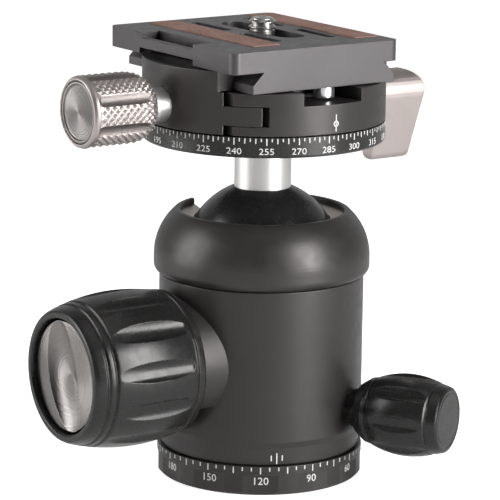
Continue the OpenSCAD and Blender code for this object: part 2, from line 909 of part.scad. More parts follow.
module pan_screw() {
    x0 = pan_plunger_x + pan_plunger_l + run_play;
    color([0.6, 0.6, 0.62])
        translate([0, 0, pan_z])
            outward(pan_polar)
                translate([0, 0, x0])
                    cylinder(h = pan_front_x - pan_socket_l - screw_end_play - x0, r = pan_screw_r);
}

// The prism that a dovetail of the plate takes out of a jaw, with play
module dovetail_cut(play) {
    half = dovetail_w / 2 + play;
    translate([0, dovetail_reach, 0])
        rotate([90, 0, 0])
            linear_extrude(height = 2 * dovetail_reach)
                polygon([[-half, bed_z], [half, bed_z], [half, flange_z - slope_h],
                    [half - slope_h - over, flange_z + over], [-half + slope_h + over, flange_z + over],
                    [-half, flange_z - slope_h]]);
}

module clamp_body() {
    tongue_cut_x = tongue_end_x - jaw_gap + run_play;
    color([0.25, 0.24, 0.24])
        difference() {
            union() {
                clamp_disc(clamp_z, bed_z);
                intersection() {
                    clamp_disc(bed_z, flange_z - lip_gap);
                    box([neck_x, -clamp_r, bed_z - over], [clamp_r, clamp_r, flange_z]);
                }
            }
            dovetail_cut(jaw_play);
            box([-2 * clamp_r, -clamp_r, clamp_z - over], [-clamp_x, clamp_r, flange_z]);
            for (side = [-1, 1])
                box([-2 * clamp_r, min(side * (tongue_y - tongue_play), side * 2 * clamp_r),
                    tongue_z0 - tongue_play],
                    [-tongue_cut_x, max(side * (tongue_y - tongue_play), side * 2 * clamp_r),
                    tongue_z1 + tongue_play]);
            translate([0, 0, clamp_z - over])
                cylinder(h = bed_z, r = top_hub_r + run_play);
            translate([0, 0, clamp_z - over])
                cylinder(h = ring_top + top_washer_h + face_play - clamp_z + over,
                    r = top_washer_out + top_washer_gap);
            translate([0, 0, top_floor])
                cylinder(h = bed_z, r = top_pocket_r);
            box([window_x0, -2 * clamp_r, bed_z - window_h],
                [window_x1, -window_wall_y, bed_z + over]);
            box([window_x0, window_wall_y, bed_z - window_h],
                [window_x1, 2 * clamp_r, bed_z + over]);
            translate([0, 0, jaw_z])
                outward(180)
                    translate([0, 0, top_pocket_r + jaw_screw_room])
                        cylinder(h = clamp_r, r = jaw_screw_r + run_play);
            for (side = [-1, 1]) {
                translate([0, side * guide_y, jaw_z])
                    outward(180)
                        translate([0, 0, clamp_x - guide_depth])
                            cylinder(h = clamp_r, r = guide_pin_r + fit_play);
                translate([0, side * spring_y, jaw_z - spring_drop])
                    outward(180)
                        translate([0, 0, clamp_x - spring_depth])
                            cylinder(h = clamp_r, r = spring_r + spring_play);
            }
            translate([0, 0, brake_z])
                outward(0)
                    cylinder(h = 2 * clamp_r, r = brake_r + run_play);
            translate([0, 0, brake_z])
                outward(0)
                    translate([0, 0, brake_tip_x + brake_l])
                        cylinder(h = clamp_r, r = lever_screw_r + run_play);
            translate([0, 0, brake_z])
                outward(0)
                    translate([0, 0, clamp_r - lever_bushing_l - lever_collar_gap])
                        cylinder(h = clamp_r, r = lever_bushing_r + fit_play);
        }
}

module guide_pins() {
    color([0.75, 0.75, 0.77])
        for (side = [-1, 1])
            translate([0, side * guide_y, jaw_z])
                outward(180)
                    translate([0, 0, clamp_x - guide_depth + pin_end_play])
                        cylinder(h = guide_pin_l, r = guide_pin_r);
}

module jaw_springs() {
    color([0.7, 0.7, 0.72])
        for (side = [-1, 1])
            translate([0, side * spring_y, jaw_z - spring_drop])
                outward(180)
                    difference() {
                        translate([0, 0, clamp_x - spring_depth + pin_end_play])
                            cylinder(h = jaw_gap + spring_depth - 2 * pin_end_play, r = spring_r,
                                $fn = 32);
                        translate([0, 0, clamp_x - spring_depth - over])
                            cylinder(h = jaw_gap + spring_depth + 2 * over, r = spring_r - spring_wire,
                                $fn = 32);
                    }
}

module lever_bushing() {
    color([0.7, 0.62, 0.4])
        translate([0, 0, brake_z])
            outward(0)
                difference() {
                    translate([0, 0, clamp_r - lever_bushing_l - lever_collar_gap + run_play])
                        cylinder(h = lever_bushing_l, r = lever_bushing_r);
                    cylinder(h = 2 * clamp_r, r = lever_screw_r + run_play);
                }
}

module jaw() {
    color([0.25, 0.24, 0.24])
        difference() {
            union() {
                intersection() {
                    clamp_disc(clamp_z, bed_z);
                    box([-clamp_r, -clamp_r, clamp_z - over], [-jaw_x, clamp_r, bed_z + over]);
                }
                for (side = [-1, 1])
                    intersection() {
                        clamp_disc(tongue_z0, tongue_z1);
                        box([-jaw_x - over, min(side * tongue_y, side * clamp_r), tongue_z0],
                            [-tongue_end_x, max(side * tongue_y, side * clamp_r), tongue_z1]);
                    }
                intersection() {
                    clamp_disc(bed_z - over, flange_z - lip_gap);
                    box([-clamp_r, -lip_y, bed_z - over], [-jaw_x, lip_y, flange_z]);
                }
                intersection() {
                    clamp_disc(bed_z + jaw_lift, flange_z - lip_gap);
                    box([-jaw_x - over, -lip_y, bed_z], [-neck_x, lip_y, flange_z]);
                }
            }
            dovetail_cut(jaw_play);
            translate([0, 0, jaw_z])
                outward(180)
                    cylinder(h = 2 * clamp_r, r = jaw_screw_r + jaw_screw_play);
            translate([0, 0, jaw_z])
                outward(180)
                    translate([0, 0, clamp_r - jaw_collar_depth])
                        cylinder(h = clamp_r, r = jaw_collar_r + run_play);
            for (side = [-1, 1])
                translate([0, side * guide_y, jaw_z])
                    outward(180)
                        cylinder(h = jaw_x + guide_reach, r = guide_pin_r + run_play);
        }
}

module jaw_knob() {
    front = jaw_front_x;
    back = jaw_back_x;
    profile = [[jaw_screw_r + fit_play, back], [jaw_knob_r - 3.7, back], [jaw_knob_r - 2.4, back + 1],
        [jaw_knob_r - 1.2, back + 2.2], [jaw_knob_r - 0.4, back + 3.9], [jaw_knob_r, back + 5.6],
        [jaw_knob_r, front - 2.6], [jaw_knob_r - 0.3, front - 1], [jaw_knob_r - 0.9, front - 0.2],
        [jaw_knob_r - 1.2, front],
        [jaw_cap_r + jaw_screw_play, front], [jaw_cap_r + jaw_screw_play, front - jaw_cap_depth],
        [jaw_screw_r + fit_play, front - jaw_cap_depth]];
    color([0.68, 0.64, 0.62])
        translate([0, 0, jaw_z])
            outward(180)
                difference() {
                    rotate_extrude($fn = 96)
                        polygon(profile);
                    flutes(jaw_flutes, jaw_knob_r, jaw_flute_cut_r, jaw_flute_depth,
                        back - 1, front - 2.2, 12);
                }
}

module jaw_knob_cap() {
    color([0.74, 0.72, 0.7])
        translate([0, 0, jaw_z])
            outward(180)
                translate([0, 0, jaw_front_x - jaw_cap_depth + jaw_cap_lift])
                    cylinder(h = jaw_cap_h, r = jaw_cap_r);
}

module jaw_screw() {
    collar_x = clamp_r - jaw_collar_depth + run_play;
    color([0.72, 0.71, 0.7])
        translate([0, 0, jaw_z])
            outward(180)
                union() {
                    translate([0, 0, jaw_inner_tip_x])
                        cylinder(h = jaw_front_x - jaw_cap_depth - jaw_inner_tip_x, r = jaw_screw_r);
                    translate([0, 0, collar_x])
                        cylinder(h = jaw_back_x - jaw_ring_h - collar_x, r = jaw_collar_r);
                    translate([0, 0, jaw_back_x - jaw_ring_h])
                        cylinder(h = jaw_ring_h - 0.03, r = jaw_ring_r);
                }
}

module brake_pad() {
    tip_x = brake_tip_x;
    color([0.7, 0.62, 0.4])
        translate([0, 0, brake_z])
            outward(0)
                rotate_extrude()
                    polygon([[0, tip_x], [0.45, tip_x], [brake_r, tip_x + brake_cone_l],
                        [brake_r, tip_x + brake_l], [0, tip_x + brake_l]]);
}

// The lever's side outline: a barrel that tapers to a thin rounded end, as (y, z) about the axis
function lever_side() = let (end_r = lever_t / 2, drop = lever_l - end_r, a = asin((lever_r - end_r) / drop))
    concat(arc(0, 0, lever_r, -a, 180 + a, 20), arc(0, -drop, end_r, 180 + a, 360 - a, 10));

// The lever's front outline, as (x, z) about the axis
function lever_front() = let (corner = lever_corner, low = lever_low_corner, x1 = lever_x + lever_w)
    concat([[lever_x, lever_r + over], [x1 - corner, lever_r + over]],
        arc(x1 - corner, lever_r - corner, corner, 90, 6, 7),
        arc(x1 - lever_taper - low, low - lever_l, low, -10, -90, 3),
        arc(lever_x + low, low - lever_l, low, -90, -180, 4));

module lock_lever() {
    color([0.7, 0.66, 0.65])
        difference() {
            intersection() {
                translate([lever_x, 0, brake_z])
                    rotate([90, 0, 90])
                        linear_extrude(height = lever_w + over)
                            polygon(lever_side());
                translate([0, lever_r + over, brake_z])
                    rotate([90, 0, 0])
                        linear_extrude(height = 2 * (lever_r + over))
                            polygon(lever_front());
            }
            translate([0, 0, brake_z])
                outward(0)
                    cylinder(h = lever_x + lever_w - lever_socket_end, r = lever_screw_r + fit_play);
        }
}

module lever_screw() {
    x0 = brake_tip_x + brake_l + run_play;
    collar_x = clamp_r + lever_collar_gap;
    color([0.6, 0.6, 0.62])
        translate([0, 0, brake_z])
            outward(0)
                union() {
                    translate([0, 0, x0])
                        cylinder(h = lever_x + lever_w - lever_socket_end - screw_end_play - x0,
                            r = lever_screw_r);
                    translate([0, 0, collar_x])
                        cylinder(h = lever_x - 0.03 - collar_x, r = lever_collar_r);
                }
}

// A straight slot along Y with round ends, centred at (x, y)
module slot(x, y, w, l, z0, z1) {
    straight = (l - w) / 2;
    translate([x, y, z0]) {
        translate([-w / 2, -straight, 0])
            cube([w, 2 * straight, z1 - z0]);
        for (side = [-1, 1])
            translate([0, side * straight, 0])
                cylinder(h = z1 - z0, r = w / 2, $fn = 32);
    }
}

// The recess of a grip strip, or the strip itself, on one side of the slots
module strip_shape(side, z0, z1, play) {
    x = slot_x + side * (strip_inner_dx + strip_w / 2);
    y = slot_y + strip_dy;
    box([x - strip_w / 2 - play, y - strip_l / 2 - play, z0],
        [x + strip_w / 2 + play, y + strip_l / 2 + play, z1]);
}

module plate() {
    c = plate_corner;
    outline = concat(
        arc(plate_x1 - c, plate_y1 - c, c, 0, 90, 6), arc(plate_x0 + c, plate_y1 - c, c, 90, 180, 6),
        arc(plate_x0 + c, plate_y0 + c, c, 180, 270, 6), arc(plate_x1 - c, plate_y0 + c, c, 270, 360, 6));
    half = dovetail_w / 2;
    color([0.45, 0.43, 0.45])
        difference() {
            union() {
                translate([0, 0, flange_z])
                    linear_extrude(height = flange_h)
                        polygon(outline);
                translate([0, plate_y1, 0])
                    rotate([90, 0, 0])
                        linear_extrude(height = plate_l)
                            polygon([[-half, plate_z], [half, plate_z], [half, flange_z - slope_h],
                                [neck_x, flange_z], [neck_x, flange_z + over], [-neck_x, flange_z + over],
                                [-neck_x, flange_z], [-half, flange_z - slope_h]]);
            }
            slot(slot_x, slot_y, slot_w, slot_l, plate_z + slot_head_h + slot_land_h, plate_top + over);
            slot(slot_x, slot_y, slot_neck_w, slot_l + slot_neck_w - slot_w, plate_z, plate_top);
            translate([slot_x, slot_y + (slot_l - slot_w) / 2, plate_z])
                cylinder(h = flange_h + dovetail_h, r = slot_w / 2 - fit_play);
            slot(slot_x, slot_y, slot_head_w, slot_l + slot_head_w - slot_w, plate_z - over,
                plate_z + slot_head_h);
            for (sx = [-1, 1], sy = [-1, 1])
                slot(slot_x + sx * side_slot_dx, slot_y + sy * side_slot_dy, side_slot_w, side_slot_l,
                    plate_top - side_slot_depth, plate_top + over);
            box([plate_x0 + strap_bar_w, strap_y0, flange_z - over],
                [plate_x0 + strap_bar_w + strap_slot_w, strap_y1, plate_top + over]);
            box([plate_x0 - over, strap_y0, plate_top - strap_bar_drop],
                [plate_x0 + strap_bar_w + over, strap_y1, plate_top + over]);
            box([plate_x0 - over, strap_y0, flange_z - over],
                [plate_x0 + strap_bar_w + over, strap_y1, flange_z + strap_bar_lift]);
            strip_shape(-1, plate_top - strip_depth, plate_top + over, fit_play);
            strip_shape(1, plate_top - strip_depth, plate_top + over, fit_play);
            for (y = [stop_near_y, stop_far_y])
                translate([stop_x, y, plate_z - over])
                    cylinder(h = stop_hole_l + over, r = stop_shank_r + fit_play);
        }
}

module strip_left() {
    color([0.55, 0.42, 0.38])
        strip_shape(-1, plate_top - strip_depth, plate_top + strip_proud, 0);
}

module strip_right() {
    color([0.55, 0.42, 0.38])
        strip_shape(1, plate_top - strip_depth, plate_top + strip_proud, 0);
}

module stop_screws() {
    color([0.75, 0.75, 0.77])
        for (y = [stop_near_y, stop_far_y])
            translate([stop_x, y, plate_z])
                difference() {
                    union() {
                        translate([0, 0, -stop_head_h])
                            cylinder(h = stop_head_h, r = stop_head_r);
                        translate([0, 0, -over])
                            cylinder(h = stop_shank_l + over, r = stop_shank_r);
                    }
                    translate([0, 0, -stop_head_h - over])
                        cylinder(h = stop_hex_h + over, r = stop_hex_h, $fn = 6);
                }
}

module camera_screw() {
    washer_top = plate_z + slot_head_h - face_play;
    head_z = washer_top - screw_washer_h - screw_head_h;
    thread_z = plate_z + slot_head_h + slot_land_h + screw_thread_lift;
    color([0.78, 0.78, 0.8])
        translate([slot_x, slot_y, 0])
            difference() {
                union() {
                    translate([0, 0, head_z])
                        cylinder(h = screw_head_h, r = screw_head_r);
                    translate([0, 0, head_z + 1])
                        cylinder(h = washer_top - head_z - 1, r = screw_seat_r - run_play);
                    translate([0, 0, head_z + 1])
                        cylinder(h = thread_z - head_z, r = screw_neck_r);
                    translate([0, 0, thread_z])
                        cylinder(h = plate_top - thread_z, r = camera_thread_r - screw_thread_lift);
                    translate([0, 0, plate_top])
                        cylinder(h = stud_h - stud_chamfer, r = camera_thread_r);
                    translate([0, 0, plate_top + stud_h - stud_chamfer])
                        cylinder(h = stud_chamfer, r1 = camera_thread_r, r2 = camera_thread_r - stud_chamfer);
                }
                translate([-screw_head_r - over, -screw_slit_w / 2, head_z - over])
                    cube([2 * screw_head_r + 2 * over, screw_slit_w, over + screw_slit_h]);
            }
}

module screw_washer() {
    washer_top = plate_z + slot_head_h - face_play;
    color([0.15, 0.15, 0.15])
        translate([slot_x, slot_y, 0])
            ring(screw_washer_r, screw_seat_r, washer_top - screw_washer_h, washer_top);
}

base_ring();
tripod_bushing();
hub_retainer();
hub_bolt();
pan_washer();
housing();
collar();
seat_ring();
thrust_plate();
lock_bushing();
pan_bushing();
ball_cup();
cup_liner();
ball();
stem();
stem_stud();
scale_ring();
top_retainer();
top_bolt();
top_washer();
lift_wedge();
lock_knob();
lock_screw();
friction_dial();
dial_stop_ring();
pan_plunger();
pan_knob();
pan_screw();
clamp_body();
guide_pins();
jaw_springs();
lever_bushing();
jaw();
jaw_knob();
jaw_knob_cap();
jaw_screw();
brake_pad();
lock_lever();
lever_screw();
plate();
strip_left();
strip_right();
stop_screws();
camera_screw();
screw_washer();
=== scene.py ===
import json
import math

import bpy
from bpy.props import FloatProperty, FloatVectorProperty, IntProperty, PointerProperty
from mathutils import Matrix, Vector

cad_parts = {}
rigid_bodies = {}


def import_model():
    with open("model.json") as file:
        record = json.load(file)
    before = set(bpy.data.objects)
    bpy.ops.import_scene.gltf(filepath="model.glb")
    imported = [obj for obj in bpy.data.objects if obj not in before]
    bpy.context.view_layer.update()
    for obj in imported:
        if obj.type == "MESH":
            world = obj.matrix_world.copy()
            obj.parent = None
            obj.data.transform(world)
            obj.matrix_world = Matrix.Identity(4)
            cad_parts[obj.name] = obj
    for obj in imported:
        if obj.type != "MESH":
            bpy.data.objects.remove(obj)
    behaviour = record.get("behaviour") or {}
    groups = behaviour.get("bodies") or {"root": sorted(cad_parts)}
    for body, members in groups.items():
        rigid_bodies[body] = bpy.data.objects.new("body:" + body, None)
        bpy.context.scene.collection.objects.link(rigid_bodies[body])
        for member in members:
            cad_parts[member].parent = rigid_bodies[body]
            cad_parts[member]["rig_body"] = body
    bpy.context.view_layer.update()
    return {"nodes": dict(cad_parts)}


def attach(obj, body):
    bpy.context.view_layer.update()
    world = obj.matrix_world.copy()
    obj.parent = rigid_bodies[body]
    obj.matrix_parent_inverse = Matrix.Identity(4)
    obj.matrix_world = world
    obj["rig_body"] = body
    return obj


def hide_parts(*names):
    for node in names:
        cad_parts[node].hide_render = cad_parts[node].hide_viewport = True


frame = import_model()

bl_info = {
    "name": "Tripod ball head",
    "version": (1, 0, 0),
    "blender": (4, 5, 0),
    "location": "View3D > Sidebar > Ball head",
    "description": "Dresses a packed tripod ball head with its marks, knurl, threads, finishes and stage",
    "category": "Object",
}

MM = 0.001
NODES = frame["nodes"]

# Heights of the level axes, in mm, and the directions of their knobs, in degrees
JAW_AXIS_Z = 87.8
LOCK_AXIS_Z = 28.8
PAN_AXIS_Z = 17.3
KNOB_POLAR = 180
PAN_POLAR = -60

# Scale on the scale ring: the angle of its zero, the steps between its numbers, and their height
UPPER_ZERO = -17.9
UPPER_NUMBER_STEP = 15
UPPER_NUMBER_Z = 79.62
UPPER_LINE_W = 0.24

# Scale on the base ring. Its numbers stand in the scallops.
LOWER_ZERO = -3.5
LOWER_STEP = 5
LOWER_NUMBER_STEP = 30
LOWER_NUMBER_Z = 3.25
LOWER_LINE_W = 0.26
SCALLOP_DEPTH = 0.55
EDGE_GAP = 0.12

# Index marks: their angles, the radius of the body's foot, and the clamp's ring
BODY_INDEX_POLAR = -114.4
BODY_LINE_W = 0.26
FOOT_R = 22.98
FOOT_LIFT = 0.02
CLAMP_INDEX_POLAR = -89.3
CLAMP_LINE_W = 0.25
CLAMP_RING_Z = 85.2
CLAMP_RING_R = 0.68
CLAMP_RING_W = 0.26

# Camera stud: its place in the plate at rest, and the two ends of its thread
STUD_PLACE = (2.3, 4.3)
PLATE_TOP = 101.9
STUD_TOP = 104.8

# The dial's hollow is a stretched ball: its length, width and depth against its half width
HOLLOW_SHAPE = (2.2, 1, 0.42)


# ---------------------------------------------------------------- sizes and colours

class HeadSizes(bpy.types.PropertyGroup):
    scale_r: FloatProperty(name="Scale ring radius", description="Radius of the ring with the upper numbers",
                           default=27.7 * MM, unit="LENGTH", subtype="DISTANCE")
    scale_top: FloatProperty(name="Scale ring top", description="Height of the scale ring's upper edge",
                             default=82.65 * MM, unit="LENGTH", subtype="DISTANCE")
    scale_step: FloatProperty(name="Scale step", description="Angle between two lines of the upper scale",
                              default=math.radians(2.5), unit="ROTATION", subtype="ANGLE")
    scale_digit: FloatProperty(name="Upper digits", description="Height of the digits on the scale ring",
                               default=1.4 * MM, unit="LENGTH", subtype="DISTANCE")
    base_r: FloatProperty(name="Base ring radius", description="Radius of the ring with the lower numbers",
                          default=23.7 * MM, unit="LENGTH", subtype="DISTANCE")
    base_top: FloatProperty(name="Base ring top", description="Height of the base ring's upper edge",
                            default=6.7 * MM, unit="LENGTH", subtype="DISTANCE")
    base_digit: FloatProperty(name="Lower digits", description="Height of the digits on the base ring",
                              default=1.7 * MM, unit="LENGTH", subtype="DISTANCE")
    paint: FloatProperty(name="Paint thickness", description="How far the printed lines stand out",
                         default=0.03 * MM, unit="LENGTH", subtype="DISTANCE")
    knurl_r: FloatProperty(name="Knurled radius", description="Radius over the knurl's points",
                           default=8.2 * MM, unit="LENGTH", subtype="DISTANCE")
    knurl_rise: FloatProperty(name="Knurl height", description="Height of one point of the knurl",
                              default=0.45 * MM, unit="LENGTH", subtype="DISTANCE")
    knurl_round: IntProperty(name="Knurl points around", description="Number of knurl points in one row",
                             default=30, min=20, max=90)
    knurl_rows: IntProperty(name="Knurl rows", description="Number of knurl rows along the knob",
                            default=10, min=6, max=40)
    jaw_flutes: IntProperty(name="Jaw knob flutes", description="Number of smooth flutes in the knurl",
                            default=7, min=3, max=12)
    lock_flutes: IntProperty(name="Lock knob flutes", description="Number of flutes on the ball lock knob",
                             default=12, min=4, max=20)
    pan_flutes: IntProperty(name="Base lock knob flutes", description="Number of flutes on that knob",
                            default=8, min=4, max=14)
    stud_r: FloatProperty(name="Camera stud radius", description="Radius of the camera stud over the thread",
                          default=3.175 * MM, unit="LENGTH", subtype="DISTANCE")
    stud_pitch: FloatProperty(name="Camera stud pitch", description="Pitch of the 1/4 inch thread",
                              default=1.27 * MM, unit="LENGTH", subtype="DISTANCE")
    dial_r: FloatProperty(name="Dial radius", description="Radius of the friction dial",
                          default=12.8 * MM, unit="LENGTH", subtype="DISTANCE")
    dial_scoop: FloatProperty(name="Dial scoop", description="Half the width of the hollow in the dial",
                              default=6.1 * MM, unit="LENGTH", subtype="DISTANCE")
    dial_turn: FloatProperty(name="Dial turn", description="Angle between the dial's hollow and the upright",
                             default=math.radians(16), unit="ROTATION", subtype="ANGLE")


class HeadColours(bpy.types.PropertyGroup):
    body: FloatVectorProperty(name="Body", description="Matt anodised body, collar, clamp and jaw",
                              default=(0.043, 0.040, 0.039), size=3, subtype="COLOR", min=0, max=1)
    knob: FloatVectorProperty(name="Knobs", description="Darker satin of the two fluted knobs",
                              default=(0.026, 0.025, 0.0245), size=3, subtype="COLOR", min=0, max=1)
    plate: FloatVectorProperty(name="Plate", description="Grey anodised plate",
                               default=(0.082, 0.077, 0.079), size=3, subtype="COLOR", min=0, max=1)
    ball: FloatVectorProperty(name="Ball", description="Hard black coat of the ball",
                              default=(0.018, 0.018, 0.018), size=3, subtype="COLOR", min=0, max=1)
    silver: FloatVectorProperty(name="Silver", description="Satin machined stem and screw collar",
                                default=(0.70, 0.68, 0.66), size=3, subtype="COLOR", min=0, max=1)
    champagne: FloatVectorProperty(name="Champagne", description="Warm anodised jaw knob and lever",
                                   default=(0.42, 0.375, 0.362), size=3, subtype="COLOR", min=0, max=1)
    dial: FloatVectorProperty(name="Dial", description="Spun face of the dial and of the jaw knob's end",
                              default=(0.235, 0.222, 0.214), size=3, subtype="COLOR", min=0, max=1)
    strip: FloatVectorProperty(name="Grip strips", description="Brown rubber and cork of the grip strips",
                               default=(0.27, 0.145, 0.115), size=3, subtype="COLOR", min=0, max=1)
    paint: FloatVectorProperty(name="Paint", description="White of the lines and numbers",
                               default=(0.80, 0.79, 0.77), size=3, subtype="COLOR", min=0, max=1)


# ---------------------------------------------------------------- work at the bench

def clear_bench():
    """Leaves edit mode and deselects everything."""
    if bpy.context.mode != "OBJECT":
        bpy.ops.object.mode_set(mode="OBJECT")
    bpy.ops.object.select_all(action="DESELECT")


def take(*pieces):
    """Selects only these pieces, and makes the first one active."""
    clear_bench()
    for piece in pieces:
        piece.select_set(True)
    bpy.context.view_layer.objects.active = pieces[0]


def new_piece(name):
    """Names the primitive that was just added."""
    piece = bpy.context.object
    piece.name = name
    piece.data.name = name
    return piece


def settle(piece):
    """Moves a piece's place into its mesh."""
    take(piece)
    bpy.ops.object.transform_apply(location=True, rotation=True, scale=True)
    return piece


def outward(piece, polar, height):
    """Lays a piece made along Z level, pointing out at that polar angle, and puts its axis at that height."""
    lift = Matrix.Translation((0, 0, height * MM))
    turn = Matrix.Rotation(math.radians(polar), 4, "Z")
    piece.matrix_world = lift @ turn @ Matrix.Rotation(math.radians(90), 4, "Y")
    return settle(piece)


def eased(corners, steps=4):
    """A half section's points, with each corner that has a third number rounded to that radius."""
    out = []
    for i, corner in enumerate(corners):
        here = Vector(corner[:2])
        if len(corner) < 3 or i in (0, len(corners) - 1):
            out.append(tuple(here))
            continue
        before = (Vector(corners[i - 1][:2]) - here).normalized()
        after = (Vector(corners[i + 1][:2]) - here).normalized()
        half = before.angle(after) / 2
        reach = corner[2] / math.tan(half)
        middle = here + (before + after).normalized() * (corner[2] / math.sin(half))
        start, end = here + before * reach - middle, here + after * reach - middle
        for k in range(steps + 1):
            t = k / steps
            spoke = (start * (1 - t) + end * t).normalized() * corner[2]
            out.append(tuple(middle + spoke))
    return out


def belly(x0, r0, x1, r1, swell, steps):
    """Points of a knob's swelling side, from (r0, x0) to (r1, x1)."""
    out = []
    for k in range(steps + 1):
        t = k / steps
        out.append((r0 + (r1 - r0) * t + swell * 4 * t * (1 - t), x0 + (x1 - x0) * t))
    return out


def half_section(name, points):
    """Draws a half section in the XZ plane: a plane merged to a point, then extruded along the points."""
    clear_bench()
    r, z = points[0]
    bpy.ops.mesh.primitive_plane_add(size=MM, location=(r * MM, 0, z * MM))
    piece = new_piece(name)
    bpy.ops.object.mode_set(mode="EDIT")
    bpy.ops.mesh.select_mode(type="VERT")
    bpy.ops.mesh.select_all(action="SELECT")
    bpy.ops.mesh.merge(type="CENTER")
    for (r0, z0), (r1, z1) in zip(points, points[1:]):
        way = ((r1 - r0) * MM, 0, (z1 - z0) * MM)
        bpy.ops.mesh.extrude_region_move(TRANSFORM_OT_translate={"value": way})
    return piece


def turned(name, points, steps):
    """A piece turned about Z from its half section, in mm. One that ends where it starts is a ring."""
    piece = half_section(name, points)
    bpy.ops.mesh.select_all(action="SELECT")
    bpy.ops.mesh.spin(steps=steps, angle=math.tau, center=(0, 0, 0), axis=(0, 0, 1))
    bpy.ops.mesh.select_all(action="SELECT")
    bpy.ops.mesh.remove_doubles(threshold=1e-6)
    bpy.ops.mesh.normals_make_consistent(inside=False)
    bpy.ops.object.mode_set(mode="OBJECT")
    return settle(piece)


def copies(piece, places):
    """One copy of a piece, each with its own mesh, at each place. The piece itself is used up."""
    made = []
    for place in places:
        take(piece)
        bpy.ops.object.duplicate()
        copy = bpy.context.object
        copy.matrix_world = place @ piece.matrix_world
        made.append(copy)
    bpy.data.objects.remove(piece)
    return made


def joined(name, pieces):
    """Joins pieces into one and settles it."""
    take(*pieces)
    bpy.ops.object.transform_apply(location=True, rotation=True, scale=True)
    if len(pieces) > 1:
        bpy.ops.object.join()
    piece = bpy.context.object
    piece.name = piece.data.name = name
    return settle(piece)


def cut(piece, tool):
    """Takes one piece out of another, and throws the cutter away."""
    take(piece)
    step = piece.modifiers.new("cut", "BOOLEAN")
    step.operation, step.object, step.solver = "DIFFERENCE", tool, "EXACT"
    bpy.ops.object.modifier_apply(modifier=step.name)
    bpy.data.objects.remove(tool)


def round_edges(piece, width, segments, angle):
    """Rounds a piece's edges that are sharper than that angle."""
    take(piece)
    step = piece.modifiers.new("round", "BEVEL")
    step.width, step.segments, step.limit_method = width * MM, segments, "ANGLE"
    step.angle_limit = math.radians(angle)
    step.harden_normals = False
    bpy.ops.object.modifier_apply(modifier=step.name)


def smoothed(piece, angle=35):
    """Shades a piece smooth, except across its sharp edges."""
    take(piece)
    bpy.ops.object.shade_smooth_by_angle(angle=math.radians(angle))
    return piece


def pick_faces(piece, test):
    """Enters edit mode with only those faces selected whose normal passes the test."""
    take(piece)
    bpy.ops.object.mode_set(mode="EDIT")
    bpy.ops.mesh.select_mode(type="FACE")
    bpy.ops.mesh.select_all(action="DESELECT")
    bpy.ops.object.mode_set(mode="OBJECT")
    for face in piece.data.polygons:
        face.select = bool(test(face.normal))
    bpy.ops.object.mode_set(mode="EDIT")


def dressed(piece, body, material, slot, *nodes):
    """Gives a finished piece its finish and its body, and hides the CAD nodes that it stands for."""
    clear_bench()
    piece.data.materials.clear()
    piece.data.materials.append(material)
    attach(piece, body)
    if nodes:
        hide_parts(*nodes)


# ---------------------------------------------------------------- finishes

def nodes_for(name):
    """A new material with its tree and shader, or only the material where one of that name is made."""
    material = bpy.data.materials.get(name)
    if material:
        return material, None, None
    material = bpy.data.materials.new(name)
    material.use_nodes = True
    tree = material.node_tree
    shader = tree.nodes["Principled BSDF"]
    return material, tree, shader


def shade(tint, share):
    """A colour made lighter or darker."""
    return tuple(min(1, c * share) for c in tint)


def mixed(tree, share, one, two):
    """A mix of two colours by a share. Each is a socket or a colour, and sockets 6 and 7 take them."""
    mix = tree.nodes.new("ShaderNodeMix")
    mix.data_type = "RGBA"
    tree.links.new(share, mix.inputs[0])
    for socket, value in ((mix.inputs[6], one), (mix.inputs[7], two)):
        if isinstance(value, bpy.types.NodeSocket):
            tree.links.new(value, socket)
        else:
            socket.default_value = (*value[:3], 1)
    return mix.outputs[2]


def speckle(tree, size, stretch=(1, 1, 1), detail=3.0):
    """Noise whose grains are about that size in mm, on the piece's own coordinates."""
    place = tree.nodes.new("ShaderNodeTexCoord")
    mapping = tree.nodes.new("ShaderNodeMapping")
    mapping.inputs["Scale"].default_value = stretch
    noise = tree.nodes.new("ShaderNodeTexNoise")
    noise.inputs["Scale"].default_value = 1 / (size * MM)
    noise.inputs["Detail"].default_value = detail
    tree.links.new(place.outputs["Object"], mapping.inputs["Vector"])
    tree.links.new(mapping.outputs["Vector"], noise.inputs["Vector"])
    return noise.outputs["Fac"]


def ranged(tree, value, low, high, to_low, to_high):
    """Maps a value from one range to another."""
    step = tree.nodes.new("ShaderNodeMapRange")
    for key, number in zip(("From Min", "From Max", "To Min", "To Max"), (low, high, to_low, to_high)):
        step.inputs[key].default_value = number
    tree.links.new(value, step.inputs["Value"])
    return step.outputs["Result"]


def soft_edge(tree, radius):
    """The normal with edges rounded, and a mask that is 1 along edges."""
    bevel = tree.nodes.new("ShaderNodeBevel")
    bevel.samples = 4
    bevel.inputs["Radius"].default_value = radius * MM
    true_normal = tree.nodes.new("ShaderNodeNewGeometry")
    dot = tree.nodes.new("ShaderNodeVectorMath")
    dot.operation = "DOT_PRODUCT"
    tree.links.new(bevel.outputs["Normal"], dot.inputs[0])
    tree.links.new(true_normal.outputs["Normal"], dot.inputs[1])
    return bevel.outputs["Normal"], ranged(tree, dot.outputs["Value"], 0.985, 0.86, 0.0, 1.0)


def raised(tree, shader, height, strength, distance, normal=None):
    """Bumps a shader's surface by a height, up to a distance in mm."""
    lift = tree.nodes.new("ShaderNodeBump")
    lift.inputs["Strength"].default_value = strength
    lift.inputs["Distance"].default_value = distance * MM
    tree.links.new(height, lift.inputs["Height"])
    if normal is not None:
        tree.links.new(normal, lift.inputs["Normal"])
    tree.links.new(lift.outputs["Normal"], shader.inputs["Normal"])


